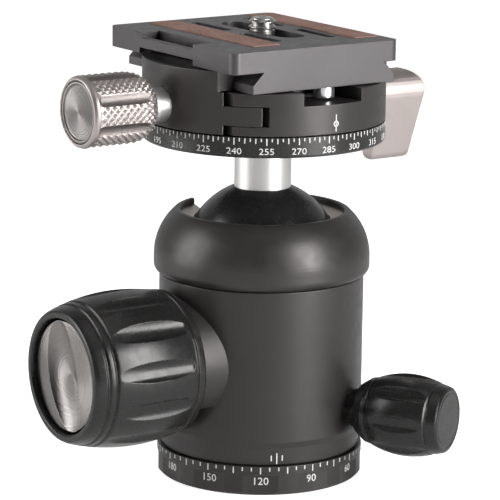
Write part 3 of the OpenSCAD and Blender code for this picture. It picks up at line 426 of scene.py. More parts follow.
def metal(name, tint, rough, metallic, grain, bump, drift, edge, wear=None, worn=0.0, stretch=(1, 1, 1)):
    """An anodised, blasted or turned metal: fine grain, colour drift, uneven gloss, soft and worn edges."""
    material, tree, shader = nodes_for(name)
    if tree is None:
        return material
    fine = speckle(tree, grain, stretch, 2.0)
    slow = speckle(tree, 14, detail=2.0)
    middle = speckle(tree, 2.2, detail=4.0)
    colour = mixed(tree, ranged(tree, slow, 0.3, 0.7, 0, 1), shade(tint, 1 - drift), shade(tint, 1 + drift))
    colour = mixed(tree, ranged(tree, fine, 0.35, 0.75, 0, 0.35), colour, shade(tint, 1.35))
    normal, edges = soft_edge(tree, edge)
    if wear:
        scuff = tree.nodes.new("ShaderNodeMath")
        scuff.operation = "MULTIPLY"
        tree.links.new(edges, scuff.inputs[0])
        tree.links.new(ranged(tree, middle, 0.38, 0.68, 0.1 * worn, worn), scuff.inputs[1])
        colour = mixed(tree, scuff.outputs[0], colour, wear)
    tree.links.new(colour, shader.inputs["Base Color"])
    tree.links.new(ranged(tree, middle, 0.3, 0.7, rough - 0.05, rough + 0.05), shader.inputs["Roughness"])
    shader.inputs["Metallic"].default_value = metallic
    raised(tree, shader, fine, bump, 0.1, normal)
    return material


def colours():
    """The colours as they are set in the panel."""
    return bpy.context.scene.head_colours


def body_finish():
    return metal("body_anodised", tuple(colours().body), rough=0.38, metallic=0.5,
                 grain=0.22, bump=0.09, drift=0.07, edge=0.3,
                 wear=(0.22, 0.21, 0.205), worn=0.55)


def knob_finish():
    return metal("knob_anodised", tuple(colours().knob), rough=0.27, metallic=0.45,
                 grain=0.2, bump=0.04, drift=0.08, edge=0.25,
                 wear=(0.16, 0.155, 0.15), worn=0.7)


def plate_finish():
    return metal("plate_anodised", tuple(colours().plate), rough=0.40, metallic=0.6,
                 grain=0.2, bump=0.07, drift=0.06, edge=0.3,
                 wear=(0.34, 0.33, 0.33), worn=0.6)


def ball_finish():
    return metal("ball_hard_coat", tuple(colours().ball), rough=0.27, metallic=0.3,
                 grain=0.3, bump=0.015, drift=0.05, edge=0.25)


def silver_finish():
    return metal("satin_silver", tuple(colours().silver), rough=0.27, metallic=1.0,
                 grain=0.6, bump=0.04, drift=0.05, edge=0.2,
                 stretch=(0.15, 0.15, 9))


def champagne_finish():
    return metal("champagne_anodised", tuple(colours().champagne), rough=0.41, metallic=0.9,
                 grain=0.14, bump=0.06, drift=0.05, edge=0.3,
                 wear=(0.82, 0.78, 0.75), worn=0.5)


def spun_finish(name, height):
    """Satin metal with fine rings about an axis along X at that height in mm, as a lathe leaves them."""
    material = metal(name, tuple(colours().dial), rough=0.30, metallic=1.0,
                     grain=0.5, bump=0.0, drift=0.06, edge=0.25,
                     wear=(0.78, 0.76, 0.73), worn=0.6)
    tree = material.node_tree
    if "rings" in tree.nodes:
        return material
    place = tree.nodes.new("ShaderNodeTexCoord")
    flat = tree.nodes.new("ShaderNodeVectorMath")
    flat.operation = "MULTIPLY_ADD"
    flat.inputs[1].default_value = (0, 1, 1)
    flat.inputs[2].default_value = (0, 0, -height * MM)
    reach = tree.nodes.new("ShaderNodeVectorMath")
    reach.operation = "LENGTH"
    rings = tree.nodes.new("ShaderNodeTexNoise")
    rings.name = "rings"
    rings.noise_dimensions = "1D"
    rings.inputs["Scale"].default_value = 1 / (0.34 * MM)
    rings.inputs["Detail"].default_value = 3
    tree.links.new(place.outputs["Object"], flat.inputs[0])
    tree.links.new(flat.outputs["Vector"], reach.inputs[0])
    tree.links.new(reach.outputs["Value"], rings.inputs["W"])
    lift = tree.nodes["Bump"]
    lift.inputs["Strength"].default_value = 0.3
    lift.inputs["Distance"].default_value = 0.05 * MM
    tree.links.new(rings.outputs["Fac"], lift.inputs["Height"])
    shader = tree.nodes["Principled BSDF"]
    tree.links.new(ranged(tree, rings.outputs["Fac"], 0.3, 0.7, 0.26, 0.38), shader.inputs["Roughness"])
    around = tree.nodes.new("ShaderNodeTangent")
    around.direction_type, around.axis = "RADIAL", "X"
    tree.links.new(around.outputs["Tangent"], shader.inputs["Tangent"])
    shader.inputs["Anisotropic"].default_value = 0.85
    return material


def dark_bronze_finish():
    return metal("dark_bronze", (0.075, 0.062, 0.050), rough=0.45, metallic=0.8,
                 grain=0.3, bump=0.05, drift=0.1, edge=0.15)


def chrome_finish():
    return metal("bright_steel", (0.80, 0.79, 0.78), rough=0.16, metallic=1.0,
                 grain=0.5, bump=0.03, drift=0.06, edge=0.12)


def steel_finish():
    return metal("turned_steel", (0.52, 0.51, 0.50), rough=0.33, metallic=1.0,
                 grain=0.4, bump=0.05, drift=0.08, edge=0.15)


def seat_finish():
    return metal("seat_alloy", (0.56, 0.50, 0.47), rough=0.38, metallic=0.85,
                 grain=0.2, bump=0.06, drift=0.07, edge=0.2)


def bronze_finish():
    return metal("bearing_bronze", (0.52, 0.36, 0.17), rough=0.38, metallic=1.0,
                 grain=0.3, bump=0.05, drift=0.1, edge=0.15)


def slide_finish():
    return metal("slide_plastic", (0.80, 0.79, 0.74), rough=0.45, metallic=0.0,
                 grain=0.5, bump=0.03, drift=0.04, edge=0.2)


def fibre_finish():
    return metal("dark_fibre", (0.045, 0.042, 0.04), rough=0.7, metallic=0.0,
                 grain=0.2, bump=0.2, drift=0.2, edge=0.1)


def paint_finish():
    """Printed white: slightly broken up and matt."""
    material, tree, shader = nodes_for("white_paint")
    if tree is None:
        return material
    fine = speckle(tree, 0.12, detail=3.0)
    tint = tuple(colours().paint)
    tree.links.new(mixed(tree, ranged(tree, fine, 0.3, 0.62, 0, 1), shade(tint, 0.62), tint),
                   shader.inputs["Base Color"])
    tree.links.new(ranged(tree, fine, 0.3, 0.7, 0.5, 0.68), shader.inputs["Roughness"])
    raised(tree, shader, fine, 0.15, 0.02)
    return material


def strip_finish():
    """Cork and rubber: small granules, darker pores and a matt surface."""
    material, tree, shader = nodes_for("grip_strip")
    if tree is None:
        return material
    place = tree.nodes.new("ShaderNodeTexCoord")
    cells = tree.nodes.new("ShaderNodeTexVoronoi")
    cells.inputs["Scale"].default_value = 1 / (0.55 * MM)
    tree.links.new(place.outputs["Object"], cells.inputs["Vector"])
    fine = speckle(tree, 0.16, detail=4.0)
    slow = speckle(tree, 5, detail=2.0)
    tint = tuple(colours().strip)
    granules = mixed(tree, cells.outputs["Distance"], shade(tint, 1.3), shade(tint, 0.55))
    tone = mixed(tree, ranged(tree, slow, 0.35, 0.65, 0.1, 0.5), granules, (0.42, 0.25, 0.20))
    tree.links.new(mixed(tree, ranged(tree, fine, 0.55, 0.75, 0, 0.7), tone, shade(tint, 0.35)),
                   shader.inputs["Base Color"])
    tree.links.new(ranged(tree, fine, 0.3, 0.7, 0.62, 0.85), shader.inputs["Roughness"])
    raised(tree, shader, cells.outputs["Distance"], 0.5, 0.08)
    return material


def floor_finish():
    """Plain white, which glows for the camera more than it lights the head."""
    material, tree, shader = nodes_for("studio_floor")
    if tree is None:
        return material
    slow = speckle(tree, 60, detail=2.0)
    tone = ranged(tree, slow, 0.3, 0.7, 0, 1)
    tree.links.new(mixed(tree, tone, (0.88, 0.88, 0.875), (0.90, 0.90, 0.90)), shader.inputs["Base Color"])
    shader.inputs["Roughness"].default_value = 0.7
    shader.inputs["Emission Color"].default_value = (1, 1, 1, 1)
    seen = tree.nodes.new("ShaderNodeLightPath")
    glow = ranged(tree, seen.outputs["Is Camera Ray"], 0, 1, 0.14, 0.80)
    tree.links.new(glow, shader.inputs["Emission Strength"])
    return material


CAD_FINISHES = {
    "base_ring": body_finish, "housing": body_finish, "collar": body_finish, "clamp_body": body_finish,
    "jaw": body_finish, "scale_ring": knob_finish, "lock_knob": knob_finish, "pan_knob": knob_finish,
    "ball": ball_finish, "stem": silver_finish, "friction_dial": silver_finish, "jaw_screw": silver_finish,
    "jaw_knob": champagne_finish, "jaw_knob_cap": champagne_finish, "lock_lever": champagne_finish,
    "plate": plate_finish, "strip_left": strip_finish, "strip_right": strip_finish,
    "camera_screw": chrome_finish, "stop_screws": chrome_finish, "seat_ring": seat_finish,
    "tripod_bushing": steel_finish, "hub_bolt": steel_finish, "hub_retainer": steel_finish,
    "thrust_plate": steel_finish, "lift_wedge": steel_finish, "ball_cup": steel_finish,
    "stem_stud": steel_finish, "top_retainer": steel_finish, "top_bolt": steel_finish,
    "lock_screw": steel_finish, "pan_screw": steel_finish, "lever_screw": steel_finish,
    "guide_pins": steel_finish, "jaw_springs": steel_finish, "dial_stop_ring": steel_finish,
    "lock_bushing": dark_bronze_finish, "pan_bushing": dark_bronze_finish,
    "lever_bushing": bronze_finish, "brake_pad": bronze_finish, "pan_plunger": bronze_finish,
    "pan_washer": slide_finish, "top_washer": slide_finish, "cup_liner": slide_finish,
    "screw_washer": fibre_finish,
}


# ---------------------------------------------------------------- stage

# The camera: its direction in degrees, and its distance and aim in mm
VIEW = {"azimuth": -34.33, "pitch": 12.37, "roll": 0.75, "distance": 689.0,
        "target": (-2.215, 1.513, 51.54)}
LIGHT_AIM_Z = 55
FLOOR_Z = -0.2


def view_axes():
    """Forward, right and up of the camera, from its angles."""
    a, p, r = (math.radians(VIEW[k]) for k in ("azimuth", "pitch", "roll"))
    back = Vector((math.sin(a) * math.cos(p), -math.cos(a) * math.cos(p), math.sin(p)))
    right = (-back).cross(Vector((0, 0, 1))).normalized()
    up = right.cross(-back)
    return -back, right * math.cos(r) + up * math.sin(r), up * math.cos(r) - right * math.sin(r)


def softbox(name, side, lift, away, size, power):
    """A soft light, at an angle to the right of the camera and an angle above the floor, in degrees."""
    a = math.radians(VIEW["azimuth"] + side)
    e = math.radians(lift)
    target = Vector((0, 0, LIGHT_AIM_Z * MM))
    way = Vector((math.sin(a) * math.cos(e), -math.cos(a) * math.cos(e), math.sin(e)))
    clear_bench()
    bpy.ops.object.light_add(type="AREA", location=target + way * away)
    lamp = bpy.context.object
    lamp.name = name
    lamp.data.shape = "RECTANGLE"
    lamp.data.size, lamp.data.size_y = size
    lamp.data.energy = power
    lamp.rotation_euler = way.to_track_quat("Z", "Y").to_euler()


class HEAD_OT_stage(bpy.types.Operator):
    """Adds the pale floor, the soft lights, the surroundings and the camera"""
    bl_idname = "ballhead.stage"
    bl_label = "Stage"

    def execute(self, context):
        scene = context.scene
        scene.view_settings.view_transform = "Standard"
        clear_bench()
        bpy.ops.mesh.primitive_plane_add(size=5, location=(0, 0, FLOOR_Z * MM))
        floor = new_piece("floor")
        bpy.ops.object.mode_set(mode="EDIT")
        bpy.ops.mesh.select_all(action="SELECT")
        bpy.ops.mesh.subdivide(number_cuts=3)
        bpy.ops.object.mode_set(mode="OBJECT")
        settle(floor)
        floor.data.materials.append(floor_finish())

        forward, right, up = view_axes()
        target = Vector(VIEW["target"]) * MM
        clear_bench()
        bpy.ops.object.camera_add(location=(0, 0, 0))
        camera = bpy.context.object
        camera.name = "camera"
        camera.data.lens = 216
        camera.data.sensor_width = 36
        camera.data.clip_start = 0.01
        camera.data.clip_end = 50
        turn = Matrix((right, up, -forward)).transposed().to_4x4()
        camera.matrix_world = Matrix.Translation(target - forward * VIEW["distance"] * MM) @ turn
        scene.camera = camera

        softbox("light_right", side=52, lift=12, away=0.75, size=(0.32, 0.75), power=10.5)
        softbox("light_left", side=-84, lift=14, away=0.70, size=(0.40, 0.70), power=4.8)
        softbox("light_top", side=20, lift=78, away=0.90, size=(0.60, 0.60), power=0.6)

        world = bpy.data.worlds.new("surroundings")
        scene.world = world
        world.use_nodes = True
        tree = world.node_tree
        sky = tree.nodes["Background"]
        place = tree.nodes.new("ShaderNodeTexCoord")
        along = tree.nodes.new("ShaderNodeVectorMath")
        along.operation = "DOT_PRODUCT"
        along.inputs[1].default_value = (forward.x, forward.y, 0)
        tree.links.new(place.outputs["Generated"], along.inputs[0])
        around = ranged(tree, along.outputs["Value"], 0.2, 0.85, 0.03, 0.5)
        seen = tree.nodes.new("ShaderNodeLightPath")
        shown = tree.nodes.new("ShaderNodeMix")
        shown.data_type = "FLOAT"
        tree.links.new(seen.outputs["Is Camera Ray"], shown.inputs[0])
        tree.links.new(around, shown.inputs[2])
        shown.inputs[3].default_value = 1.0
        tree.links.new(shown.outputs[0], sky.inputs["Strength"])
        sky.inputs["Color"].default_value = (1, 1, 1, 1)
        return {"FINISHED"}


# ---------------------------------------------------------------- finishes of the CAD nodes

class HEAD_OT_finishes(bpy.types.Operator):
    """Gives every CAD node the finish of the real piece"""
    bl_idname = "ballhead.finishes"
    bl_label = "Finishes"

    def execute(self, context):
        missing = set(NODES) ^ set(CAD_FINISHES)
        if missing:
            raise RuntimeError(f"no finish, or no node, for {sorted(missing)}")
        for name, finish in CAD_FINISHES.items():
            material = finish()
            node = NODES[name]
            for place in node.material_slots:
                place.material = material
        return {"FINISHED"}


# ---------------------------------------------------------------- lines and numbers

def facing(polar, radius, height):
    """Where a flat mark drawn on XY goes on an upright cylinder: X to the right, Y up, Z outward."""
    a = math.radians(polar)
    return Matrix(((-math.sin(a), 0, math.cos(a), radius * math.cos(a)),
                   (math.cos(a), 0, math.sin(a), radius * math.sin(a)),
                   (0, 1, 0, height), (0, 0, 0, 1)))


def line_mark(width, length, paint):
    """One painted line, hanging down from its upper end: a flat bar, extruded, with rounded corners."""
    clear_bench()
    bpy.ops.mesh.primitive_plane_add(size=1, location=(0, -length * MM / 2, 0))
    bar = new_piece("line")
    bar.scale = (width * MM, length * MM, 1)
    settle(bar)
    bpy.ops.object.mode_set(mode="EDIT")
    bpy.ops.mesh.select_all(action="SELECT")
    bpy.ops.mesh.bevel(offset=width * MM * 0.3, segments=2, affect="VERTICES")
    bpy.ops.mesh.select_all(action="SELECT")
    bpy.ops.mesh.extrude_region_move(TRANSFORM_OT_translate={"value": (0, 0, paint)})
    bpy.ops.mesh.select_all(action="SELECT")
    bpy.ops.mesh.normals_make_consistent(inside=False)
    bpy.ops.object.mode_set(mode="OBJECT")
    return bar


def number_mark(text, height, widen, paint):
    """A number, centred, as a thin mesh on XY."""
    clear_bench()
    bpy.ops.object.text_add(location=(0, 0, 0))
    words = bpy.context.object
    words.data.body = text
    words.data.align_x = "CENTER"
    words.data.align_y = "CENTER"
    words.data.size = 1
    words.data.resolution_u = 3
    words.data.extrude = 0.5
    bpy.ops.object.convert(target="MESH")
    piece = bpy.context.object
    low = min(v.co.y for v in piece.data.vertices)
    high = max(v.co.y for v in piece.data.vertices)
    share = height / (high - low)
    piece.matrix_world = (Matrix.Diagonal((share * widen, share, paint, 1))
                          @ Matrix.Translation((0, -(low + high) / 2, 0.5)))
    settle(piece)
    bpy.ops.object.mode_set(mode="EDIT")
    bpy.ops.mesh.select_all(action="SELECT")
    bpy.ops.mesh.remove_doubles(threshold=1e-7)
    bpy.ops.object.mode_set(mode="OBJECT")
    return piece


class HEAD_OT_scale_marks(bpy.types.Operator):
    """Paints the lines and numbers of the scale ring under the clamp"""
    bl_idname = "ballhead.scale_marks"
    bl_label = "Upper scale"

    def execute(self, context):
        size = context.scene.head_sizes
        radius, top = size.scale_r, size.scale_top - EDGE_GAP * MM
        step = math.degrees(size.scale_step)
        count = round(360 / step)
        marks = []
        for length, wanted in ((1.55, lambda k: k % 6 == 0), (1.2, lambda k: k % 6 and k % 2 == 0),
                               (0.75, lambda k: k % 2)):
            bar = line_mark(UPPER_LINE_W, length, size.paint)
            places = [facing(UPPER_ZERO + k * step, radius, top) for k in range(count) if wanted(k)]
            marks += copies(bar, places)
        for value in range(0, 360, UPPER_NUMBER_STEP):
            number = number_mark(str(value), size.scale_digit, widen=1.18, paint=size.paint)
            number.matrix_world = facing(UPPER_ZERO + value, radius, UPPER_NUMBER_Z * MM)
            marks.append(number)
        dressed(joined("scale_marks", marks), "ball_and_stem", paint_finish(), "slide_plastic")
        return {"FINISHED"}


class HEAD_OT_base_marks(bpy.types.Operator):
    """Paints the lines and numbers of the base ring"""
    bl_idname = "ballhead.base_marks"
    bl_label = "Lower scale"

    def execute(self, context):
        size = context.scene.head_sizes
        radius, top = size.base_r, size.base_top - EDGE_GAP * MM
        marks = []
        for length, wanted in ((1.55, lambda k: k % 3 == 0), (0.9, lambda k: k % 3)):
            bar = line_mark(LOWER_LINE_W, length, size.paint)
            places = [facing(LOWER_ZERO - k * LOWER_STEP, radius, top)
                      for k in range(360 // LOWER_STEP) if wanted(k)]
            marks += copies(bar, places)
        inner = radius - SCALLOP_DEPTH * MM
        for value in range(0, 360, LOWER_NUMBER_STEP):
            number = number_mark(str(value), size.base_digit, widen=1.05, paint=size.paint)
            number.matrix_world = facing(LOWER_ZERO - value, inner, LOWER_NUMBER_Z * MM)
            marks.append(number)
        dressed(joined("base_marks", marks), "base", paint_finish(), "slide_plastic")
        return {"FINISHED"}


class HEAD_OT_index_marks(bpy.types.Operator):
    """Paints the index of the body over the base scale, and the index of the clamp over the upper scale"""
    bl_idname = "ballhead.index_marks"
    bl_label = "Index marks"

    def execute(self, context):
        size = context.scene.head_sizes
        lines = []
        for shift, length, low in ((0, 2.7, 7.15), (-1.25, 1.3, 7.9), (1.25, 1.3, 7.9)):
            bar = line_mark(BODY_LINE_W, length, size.paint)
            polar = BODY_INDEX_POLAR + math.degrees(shift / FOOT_R)
            lines += copies(bar, [facing(polar, (FOOT_R + FOOT_LIFT) * MM, (low + length) * MM)])
        dressed(joined("body_index", lines), "body", paint_finish(), "slide_plastic")

        clear_bench()
        bpy.ops.mesh.primitive_circle_add(vertices=28, radius=CLAMP_RING_R * MM, fill_type="NGON")
        ring = new_piece("index_ring")
        bpy.ops.object.mode_set(mode="EDIT")
        bpy.ops.mesh.select_all(action="SELECT")
        bpy.ops.mesh.inset(thickness=CLAMP_RING_W * MM)
        bpy.ops.mesh.delete(type="FACE")
        bpy.ops.mesh.select_all(action="SELECT")
        bpy.ops.mesh.extrude_region_move(TRANSFORM_OT_translate={"value": (0, 0, size.paint)})
        bpy.ops.mesh.select_all(action="SELECT")
        bpy.ops.mesh.normals_make_consistent(inside=False)
        bpy.ops.object.mode_set(mode="OBJECT")
        ring.matrix_world = facing(CLAMP_INDEX_POLAR, size.scale_r, CLAMP_RING_Z * MM)
        lines = [ring]
        for length, low in ((1.5, 85.75), (1.1, 83.45), (0.55, 84.93)):
            bar = line_mark(CLAMP_LINE_W, length, size.paint)
            lines += copies(bar, [facing(CLAMP_INDEX_POLAR, size.scale_r, (low + length) * MM)])
        dressed(joined("clamp_index", lines), "clamp", paint_finish(), "slide_plastic")
        return {"FINISHED"}


# ---------------------------------------------------------------- knurl and flutes

def evenly(path, count):
    """Points that divide a path into that many steps of one length."""
    lengths = [0]
    for (r0, z0), (r1, z1) in zip(path, path[1:]):
        lengths.append(lengths[-1] + math.hypot(r1 - r0, z1 - z0))
    points = []
    for k in range(count + 1):
        s = lengths[-1] * k / count
        i = max(j for j in range(len(lengths) - 1) if lengths[j] <= s + 1e-9)
        t = (s - lengths[i]) / (lengths[i + 1] - lengths[i])
        points.append(tuple(a + (b - a) * t for a, b in zip(path[i], path[i + 1])))
    return points


def knurled(name, points, count, rise):
    """A turned sleeve of rows of quads, whose corners become diamonds, which are then drawn out to points."""
    sleeve = turned(name, points, count)
    mesh = sleeve.data
    quad_edges = {tuple(sorted(edge.vertices)) for edge in mesh.edges}
    ends = (points[0][1], points[-1][1])
    take(sleeve)
    bpy.ops.object.mode_set(mode="EDIT")
    bpy.ops.mesh.select_mode(type="FACE")
    bpy.ops.mesh.select_all(action="SELECT")
    bpy.ops.mesh.poke(offset=0)
    bpy.ops.mesh.select_all(action="DESELECT")
    bpy.ops.mesh.select_mode(type="EDGE")
    bpy.ops.object.mode_set(mode="OBJECT")
    for edge in mesh.edges:
        on_end = all(any(abs(mesh.vertices[i].co.z / MM - z) < 0.01 for z in ends) for i in edge.vertices)
        edge.select = tuple(sorted(edge.vertices)) in quad_edges and not on_end
    bpy.ops.object.mode_set(mode="EDIT")
    bpy.ops.mesh.dissolve_edges(use_verts=False)
    bpy.ops.mesh.select_mode(type="FACE")
    bpy.ops.mesh.select_all(action="DESELECT")
    bpy.ops.object.mode_set(mode="OBJECT")
    for face in mesh.polygons:
        face.select = len(face.vertices) == 4
    bpy.ops.object.mode_set(mode="EDIT")
    bpy.ops.mesh.poke(offset=rise)
    bpy.ops.mesh.select_mode(type="EDGE")
    bpy.ops.mesh.select_all(action="DESELECT")
    bpy.ops.mesh.select_non_manifold()
    bpy.ops.mesh.fill_holes(sides=0)
    bpy.ops.mesh.select_all(action="SELECT")
    bpy.ops.mesh.normals_make_consistent(inside=False)
    bpy.ops.object.mode_set(mode="OBJECT")
    return sleeve


def fluted(knob, count, reach, cutter_r, depth, z0, z1, turn, sides=72, end=0, ease=0.0, steps=6):
    """Cuts straight flutes along a knob that stands on Z. end is 1 or -1 for a rounded upper or lower end."""
    clear_bench()
    bpy.ops.mesh.primitive_cylinder_add(vertices=sides, radius=cutter_r * MM, depth=(z1 - z0) * MM,
                                        location=((reach - depth + cutter_r) * MM, 0, (z0 + z1) / 2 * MM))
    bar = new_piece("flute")
    settle(bar)
    if end:
        pick_faces(bar, lambda normal: normal.z * end > 0.9)
        bpy.ops.mesh.bevel(offset=ease * MM, segments=steps, affect="EDGES")
        bpy.ops.object.mode_set(mode="OBJECT")
    turns = [Matrix.Rotation(math.radians(turn + 360 * k / count), 4, "Z") for k in range(count)]
    cut(knob, joined("flutes", copies(bar, turns)))


# ---------------------------------------------------------------- jaw knob

class HEAD_OT_jaw_knob(bpy.types.Operator):
    """Turns the jaw knob, raises its diamond knurl and cuts its smooth flutes"""
    bl_idname = "ballhead.jaw_knob"
    bl_label = "Jaw knob"

    def execute(self, context):
        size = context.scene.head_sizes
        front, back = 49.4, 31.3
        r = size.knurl_r / MM
        low = r - size.knurl_rise / MM
        core = turned("jaw_knob_core", eased([
            (2.54, back), (4.3, back), (4.9, back + 0.3, 0.25), (5.7, back + 1.1), (6.75, back + 2.3),
            (7.45, back + 3.9), (low - 0.05, back + 5.4), (low - 0.05, front - 1.75),
            (low - 0.12, front - 1.6), (low + 0.1, front - 1.45, 0.08), (r - 0.1, front - 1.25, 0.15),
            (r - 0.3, front - 0.55, 0.3), (r - 0.8, front, 0.25), (7.2, front), (7.02, front - 0.2),
            (7.02, front - 1.5), (2.54, front - 1.5), (2.54, back)]), 128)
        path = [(4.95, back + 0.45), (5.75, back + 1.15), (6.85, back + 2.35), (7.5, back + 3.8),
                (low, back + 5.4), (low, front - 1.6)]
        points = evenly(path, size.knurl_rows)
        sleeve = knurled("jaw_knob_sleeve", points, size.knurl_round, size.knurl_rise)
        for part in (core, sleeve):
            fluted(part, size.jaw_flutes, reach=r, cutter_r=2.2, depth=1.0, z0=back - 1, z1=front - 1.45,
                   turn=12, sides=48, end=1, ease=0.9, steps=5)
        knob = joined("knurled_knob", [core, sleeve])
        outward(knob, KNOB_POLAR, JAW_AXIS_Z)
        dressed(smoothed(knob, 24), "jaw_lock", champagne_finish(), "champagne", "jaw_knob")

        disc = turned("knob_disc", eased([
            (0, front - 1.4), (6.9, front - 1.4), (6.9, front - 0.3, 0.12), (6.65, front - 0.08, 0.12),
            (6.25, front - 0.08, 0.08), (6.05, front - 0.5, 0.08), (5.85, front - 0.55),
            (0, front - 0.15)]), 96)
        outward(disc, KNOB_POLAR, JAW_AXIS_Z)
        finish = spun_finish("spun_disc", JAW_AXIS_Z)
        dressed(smoothed(disc), "jaw_lock", finish, "champagne", "jaw_knob_cap")
        return {"FINISHED"}


# ---------------------------------------------------------------- camera stud

class HEAD_OT_camera_stud(bpy.types.Operator):
    """Turns the camera stud with the grooves of its thread and with its head"""
    bl_idname = "ballhead.camera_stud"
    bl_label = "Camera stud"

    def execute(self, context):
        size = context.scene.head_sizes
        x, y = STUD_PLACE
        low, high = PLATE_TOP, STUD_TOP
        major, pitch = size.stud_r / MM - 0.02, size.stud_pitch / MM
        minor = major - 0.62
        section = [(0, 92.4), (6, 92.4), (6, 94.6, 0.2), (3.2, 94.6), (3.2, 95.0), (2.4, 95.2), (2.4, 97.9),
                   (2.85, 98.1), (2.85, low), (minor, low + 0.05)]
        count = math.floor((high - low) / pitch)
        for k in range(count):
            base = low + 0.12 + k * pitch
            section += [(minor, base, 0.08), (major, base + pitch * 0.40, 0.06),
                        (major, base + pitch * 0.52, 0.06), (minor, base + pitch * 0.92, 0.08)]
        section += [(minor, high - 0.2, 0.15), (minor - 0.45, high, 0.1), (1.0, high, 0.1),
                    (0.75, high - 0.22, 0.1), (0, high - 0.25)]
        whole = turned("camera_stud", eased(section), 96)
        whole.matrix_world = Matrix.Translation((x * MM, y * MM, 0))
        settle(whole)
        body = NODES["camera_screw"]["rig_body"]
        dressed(smoothed(whole, 30), body, steel_finish(), "bright_steel", "camera_screw")
        return {"FINISHED"}


# ---------------------------------------------------------------- ball lock knob and friction dial

class HEAD_OT_lock_knob(bpy.types.Operator):
    """Turns the ball lock knob with its ring grooves and flutes"""
    bl_idname = "ballhead.lock_knob"
    bl_label = "Ball lock knob"

    def execute(self, context):
        size = context.scene.head_sizes
        back, front = 25.4, 53.5
        b0, b1 = back + 2.9, front - 5.4
        section = eased([
            (3.04, back), (15.9, back, 0.3), (16.35, back + 0.5, 0.3), (16.6, back + 2.1, 0.15),
            (16.25, back + 2.3, 0.1), (16.25, back + 2.55, 0.1)], 4)
        section += belly(b0, 16.65, b1, 16.45, 1.05, 44)
        section += eased([
            (16.42, b1 + 0.05), (15.85, b1 + 0.35, 0.2), (15.9, b1 + 0.55, 0.1), (16.2, b1 + 0.9, 0.3),
            (16.0, b1 + 1.9, 0.3), (15.55, b1 + 2.15, 0.12), (15.5, b1 + 2.4, 0.12), (15.75, b1 + 2.75, 0.3),
            (15.2, front - 1.0, 1.2), (14.75, front - 0.12, 0.35), (14.3, front, 0.2), (13.35, front, 0.25),
            (13.1, front - 0.5, 0.2), (13.1, front - 6), (4.8, front - 6), (4.8, front - 11.4),
            (3.04, front - 11.4), (3.04, back)], 4)
        knob = turned("fluted_knob", section, 180)
        fluted(knob, size.lock_flutes, reach=17.6, cutter_r=3.4, depth=1.12, z0=b0 - 0.3, z1=b1 + 3,
               turn=10, end=-1, ease=3.4 * 0.45)
        outward(knob, KNOB_POLAR, LOCK_AXIS_Z)
        dressed(smoothed(knob, 28), "ball_lock", knob_finish(), "black_anodised", "lock_knob")
        return {"FINISHED"}


class HEAD_OT_friction_dial(bpy.types.Operator):
    """Turns the friction dial with its domed face and hollows it for the finger"""
    bl_idname = "ballhead.friction_dial"
    bl_label = "Friction dial"

    def execute(self, context):
        size = context.scene.head_sizes
        r, face, dome = size.dial_r / MM, 53.2, 0.8
        section = eased([
            (0, 38.1), (1.55, 38.1, 0.2), (1.55, 43.1), (4.45, 43.1), (4.45, 48.12), (r - 0.3, 48.12),
            (r, 48.4), (r, face - dome - 0.75, 0.25), (r - 0.45, face - dome)], 3)
        section += [((r - 0.45) * (1 - k / 24), face - dome * (1 - k / 24) ** 2) for k in range(1, 25)]
        dial = turned("friction_dial_face", section, 144)
        clear_bench()
        bpy.ops.mesh.primitive_uv_sphere_add(
            segments=120, ring_count=80, radius=size.dial_scoop,
            location=(0, 0, (face - 0.1) * MM), rotation=(0, 0, size.dial_turn))
        scoop = new_piece("scoop")
        scoop.scale = HOLLOW_SHAPE
        cut(dial, settle(scoop))
        round_edges(dial, width=0.55, segments=3, angle=15)
        outward(dial, KNOB_POLAR, LOCK_AXIS_Z)
        finish = spun_finish("spun_dial", LOCK_AXIS_Z)
        dressed(smoothed(dial, 24), "dial", finish, "satin_silver", "friction_dial")
        return {"FINISHED"}


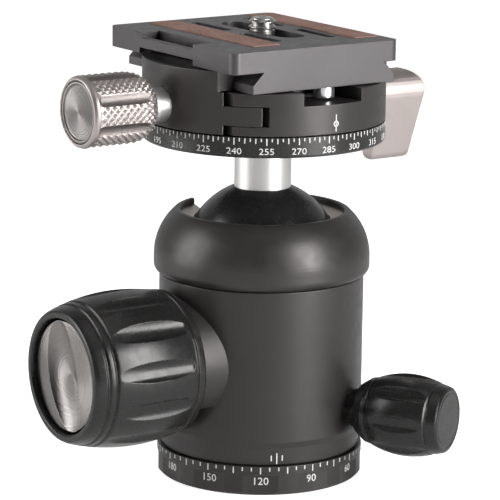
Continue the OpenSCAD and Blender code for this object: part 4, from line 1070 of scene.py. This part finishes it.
class HEAD_OT_pan_knob(bpy.types.Operator):
    """Turns the base lock knob with its neck, ring grooves and flutes"""
    bl_idname = "ballhead.pan_knob"
    bl_label = "Base lock knob"

    def execute(self, context):
        size = context.scene.head_sizes
        back, front = 23.85, 47.2
        b0, b1 = 30.2, front - 3.2
        section = eased([
            (2.54, back), (4.25, back, 0.12), (4.4, back + 0.3), (4.4, 25.5, 0.15), (5.9, 26.0, 0.4),
            (7.5, 28.35, 0.5), (7.65, 29.45, 0.15), (7.35, 29.75, 0.1), (7.4, 29.95, 0.1)], 4)
        section += belly(b0, 8.0, b1, 8.3, 1.22, 36)
        section += eased([
            (8.25, b1 + 0.05), (7.9, b1 + 0.35, 0.12), (8.05, b1 + 0.75, 0.2), (7.75, front - 1.2, 0.5),
            (7.45, front - 0.3, 0.35), (6.9, front, 0.3), (6.4, front), (6.2, front - 0.12), (6.0, front),
            (0, front), (0, front - 7), (2.54, front - 7), (2.54, back)], 4)
        knob = turned("pan_lock_knob", section, 144)
        fluted(knob, size.pan_flutes, reach=9.4, cutter_r=2.5, depth=1.12, z0=b0 - 1, z1=b1 + 2, turn=180)
        outward(knob, PAN_POLAR, PAN_AXIS_Z)
        dressed(smoothed(knob, 28), "pan_lock", knob_finish(), "black_anodised", "pan_knob")
        return {"FINISHED"}


# ---------------------------------------------------------------- panel and running order

STEPS = (HEAD_OT_stage, HEAD_OT_finishes, HEAD_OT_scale_marks, HEAD_OT_base_marks, HEAD_OT_index_marks,
         HEAD_OT_jaw_knob, HEAD_OT_camera_stud, HEAD_OT_lock_knob, HEAD_OT_friction_dial, HEAD_OT_pan_knob)


class HEAD_PT_bench(bpy.types.Panel):
    """Lists the steps that dress the ball head, with its sizes and colours"""
    bl_label = "Ball head"
    bl_idname = "HEAD_PT_bench"
    bl_space_type = "VIEW_3D"
    bl_region_type = "UI"
    bl_category = "Ball head"

    def draw(self, context):
        column = self.layout.column()
        for step in STEPS:
            column.operator(step.bl_idname)
        for group in (context.scene.head_sizes, context.scene.head_colours):
            for name in group.__annotations__:
                column.prop(group, name)


CLASSES = (HeadSizes, HeadColours, *STEPS, HEAD_PT_bench)


def register():
    for each in CLASSES:
        bpy.utils.register_class(each)
    bpy.types.Scene.head_sizes = PointerProperty(type=HeadSizes)
    bpy.types.Scene.head_colours = PointerProperty(type=HeadColours)


def unregister():
    del bpy.types.Scene.head_colours
    del bpy.types.Scene.head_sizes
    for each in reversed(CLASSES):
        bpy.utils.unregister_class(each)


def main():
    register()
    for step in STEPS:
        group, name = step.bl_idname.split(".")
        getattr(getattr(bpy.ops, group), name)()
    clear_bench()


if __name__ == "__main__":
    main()
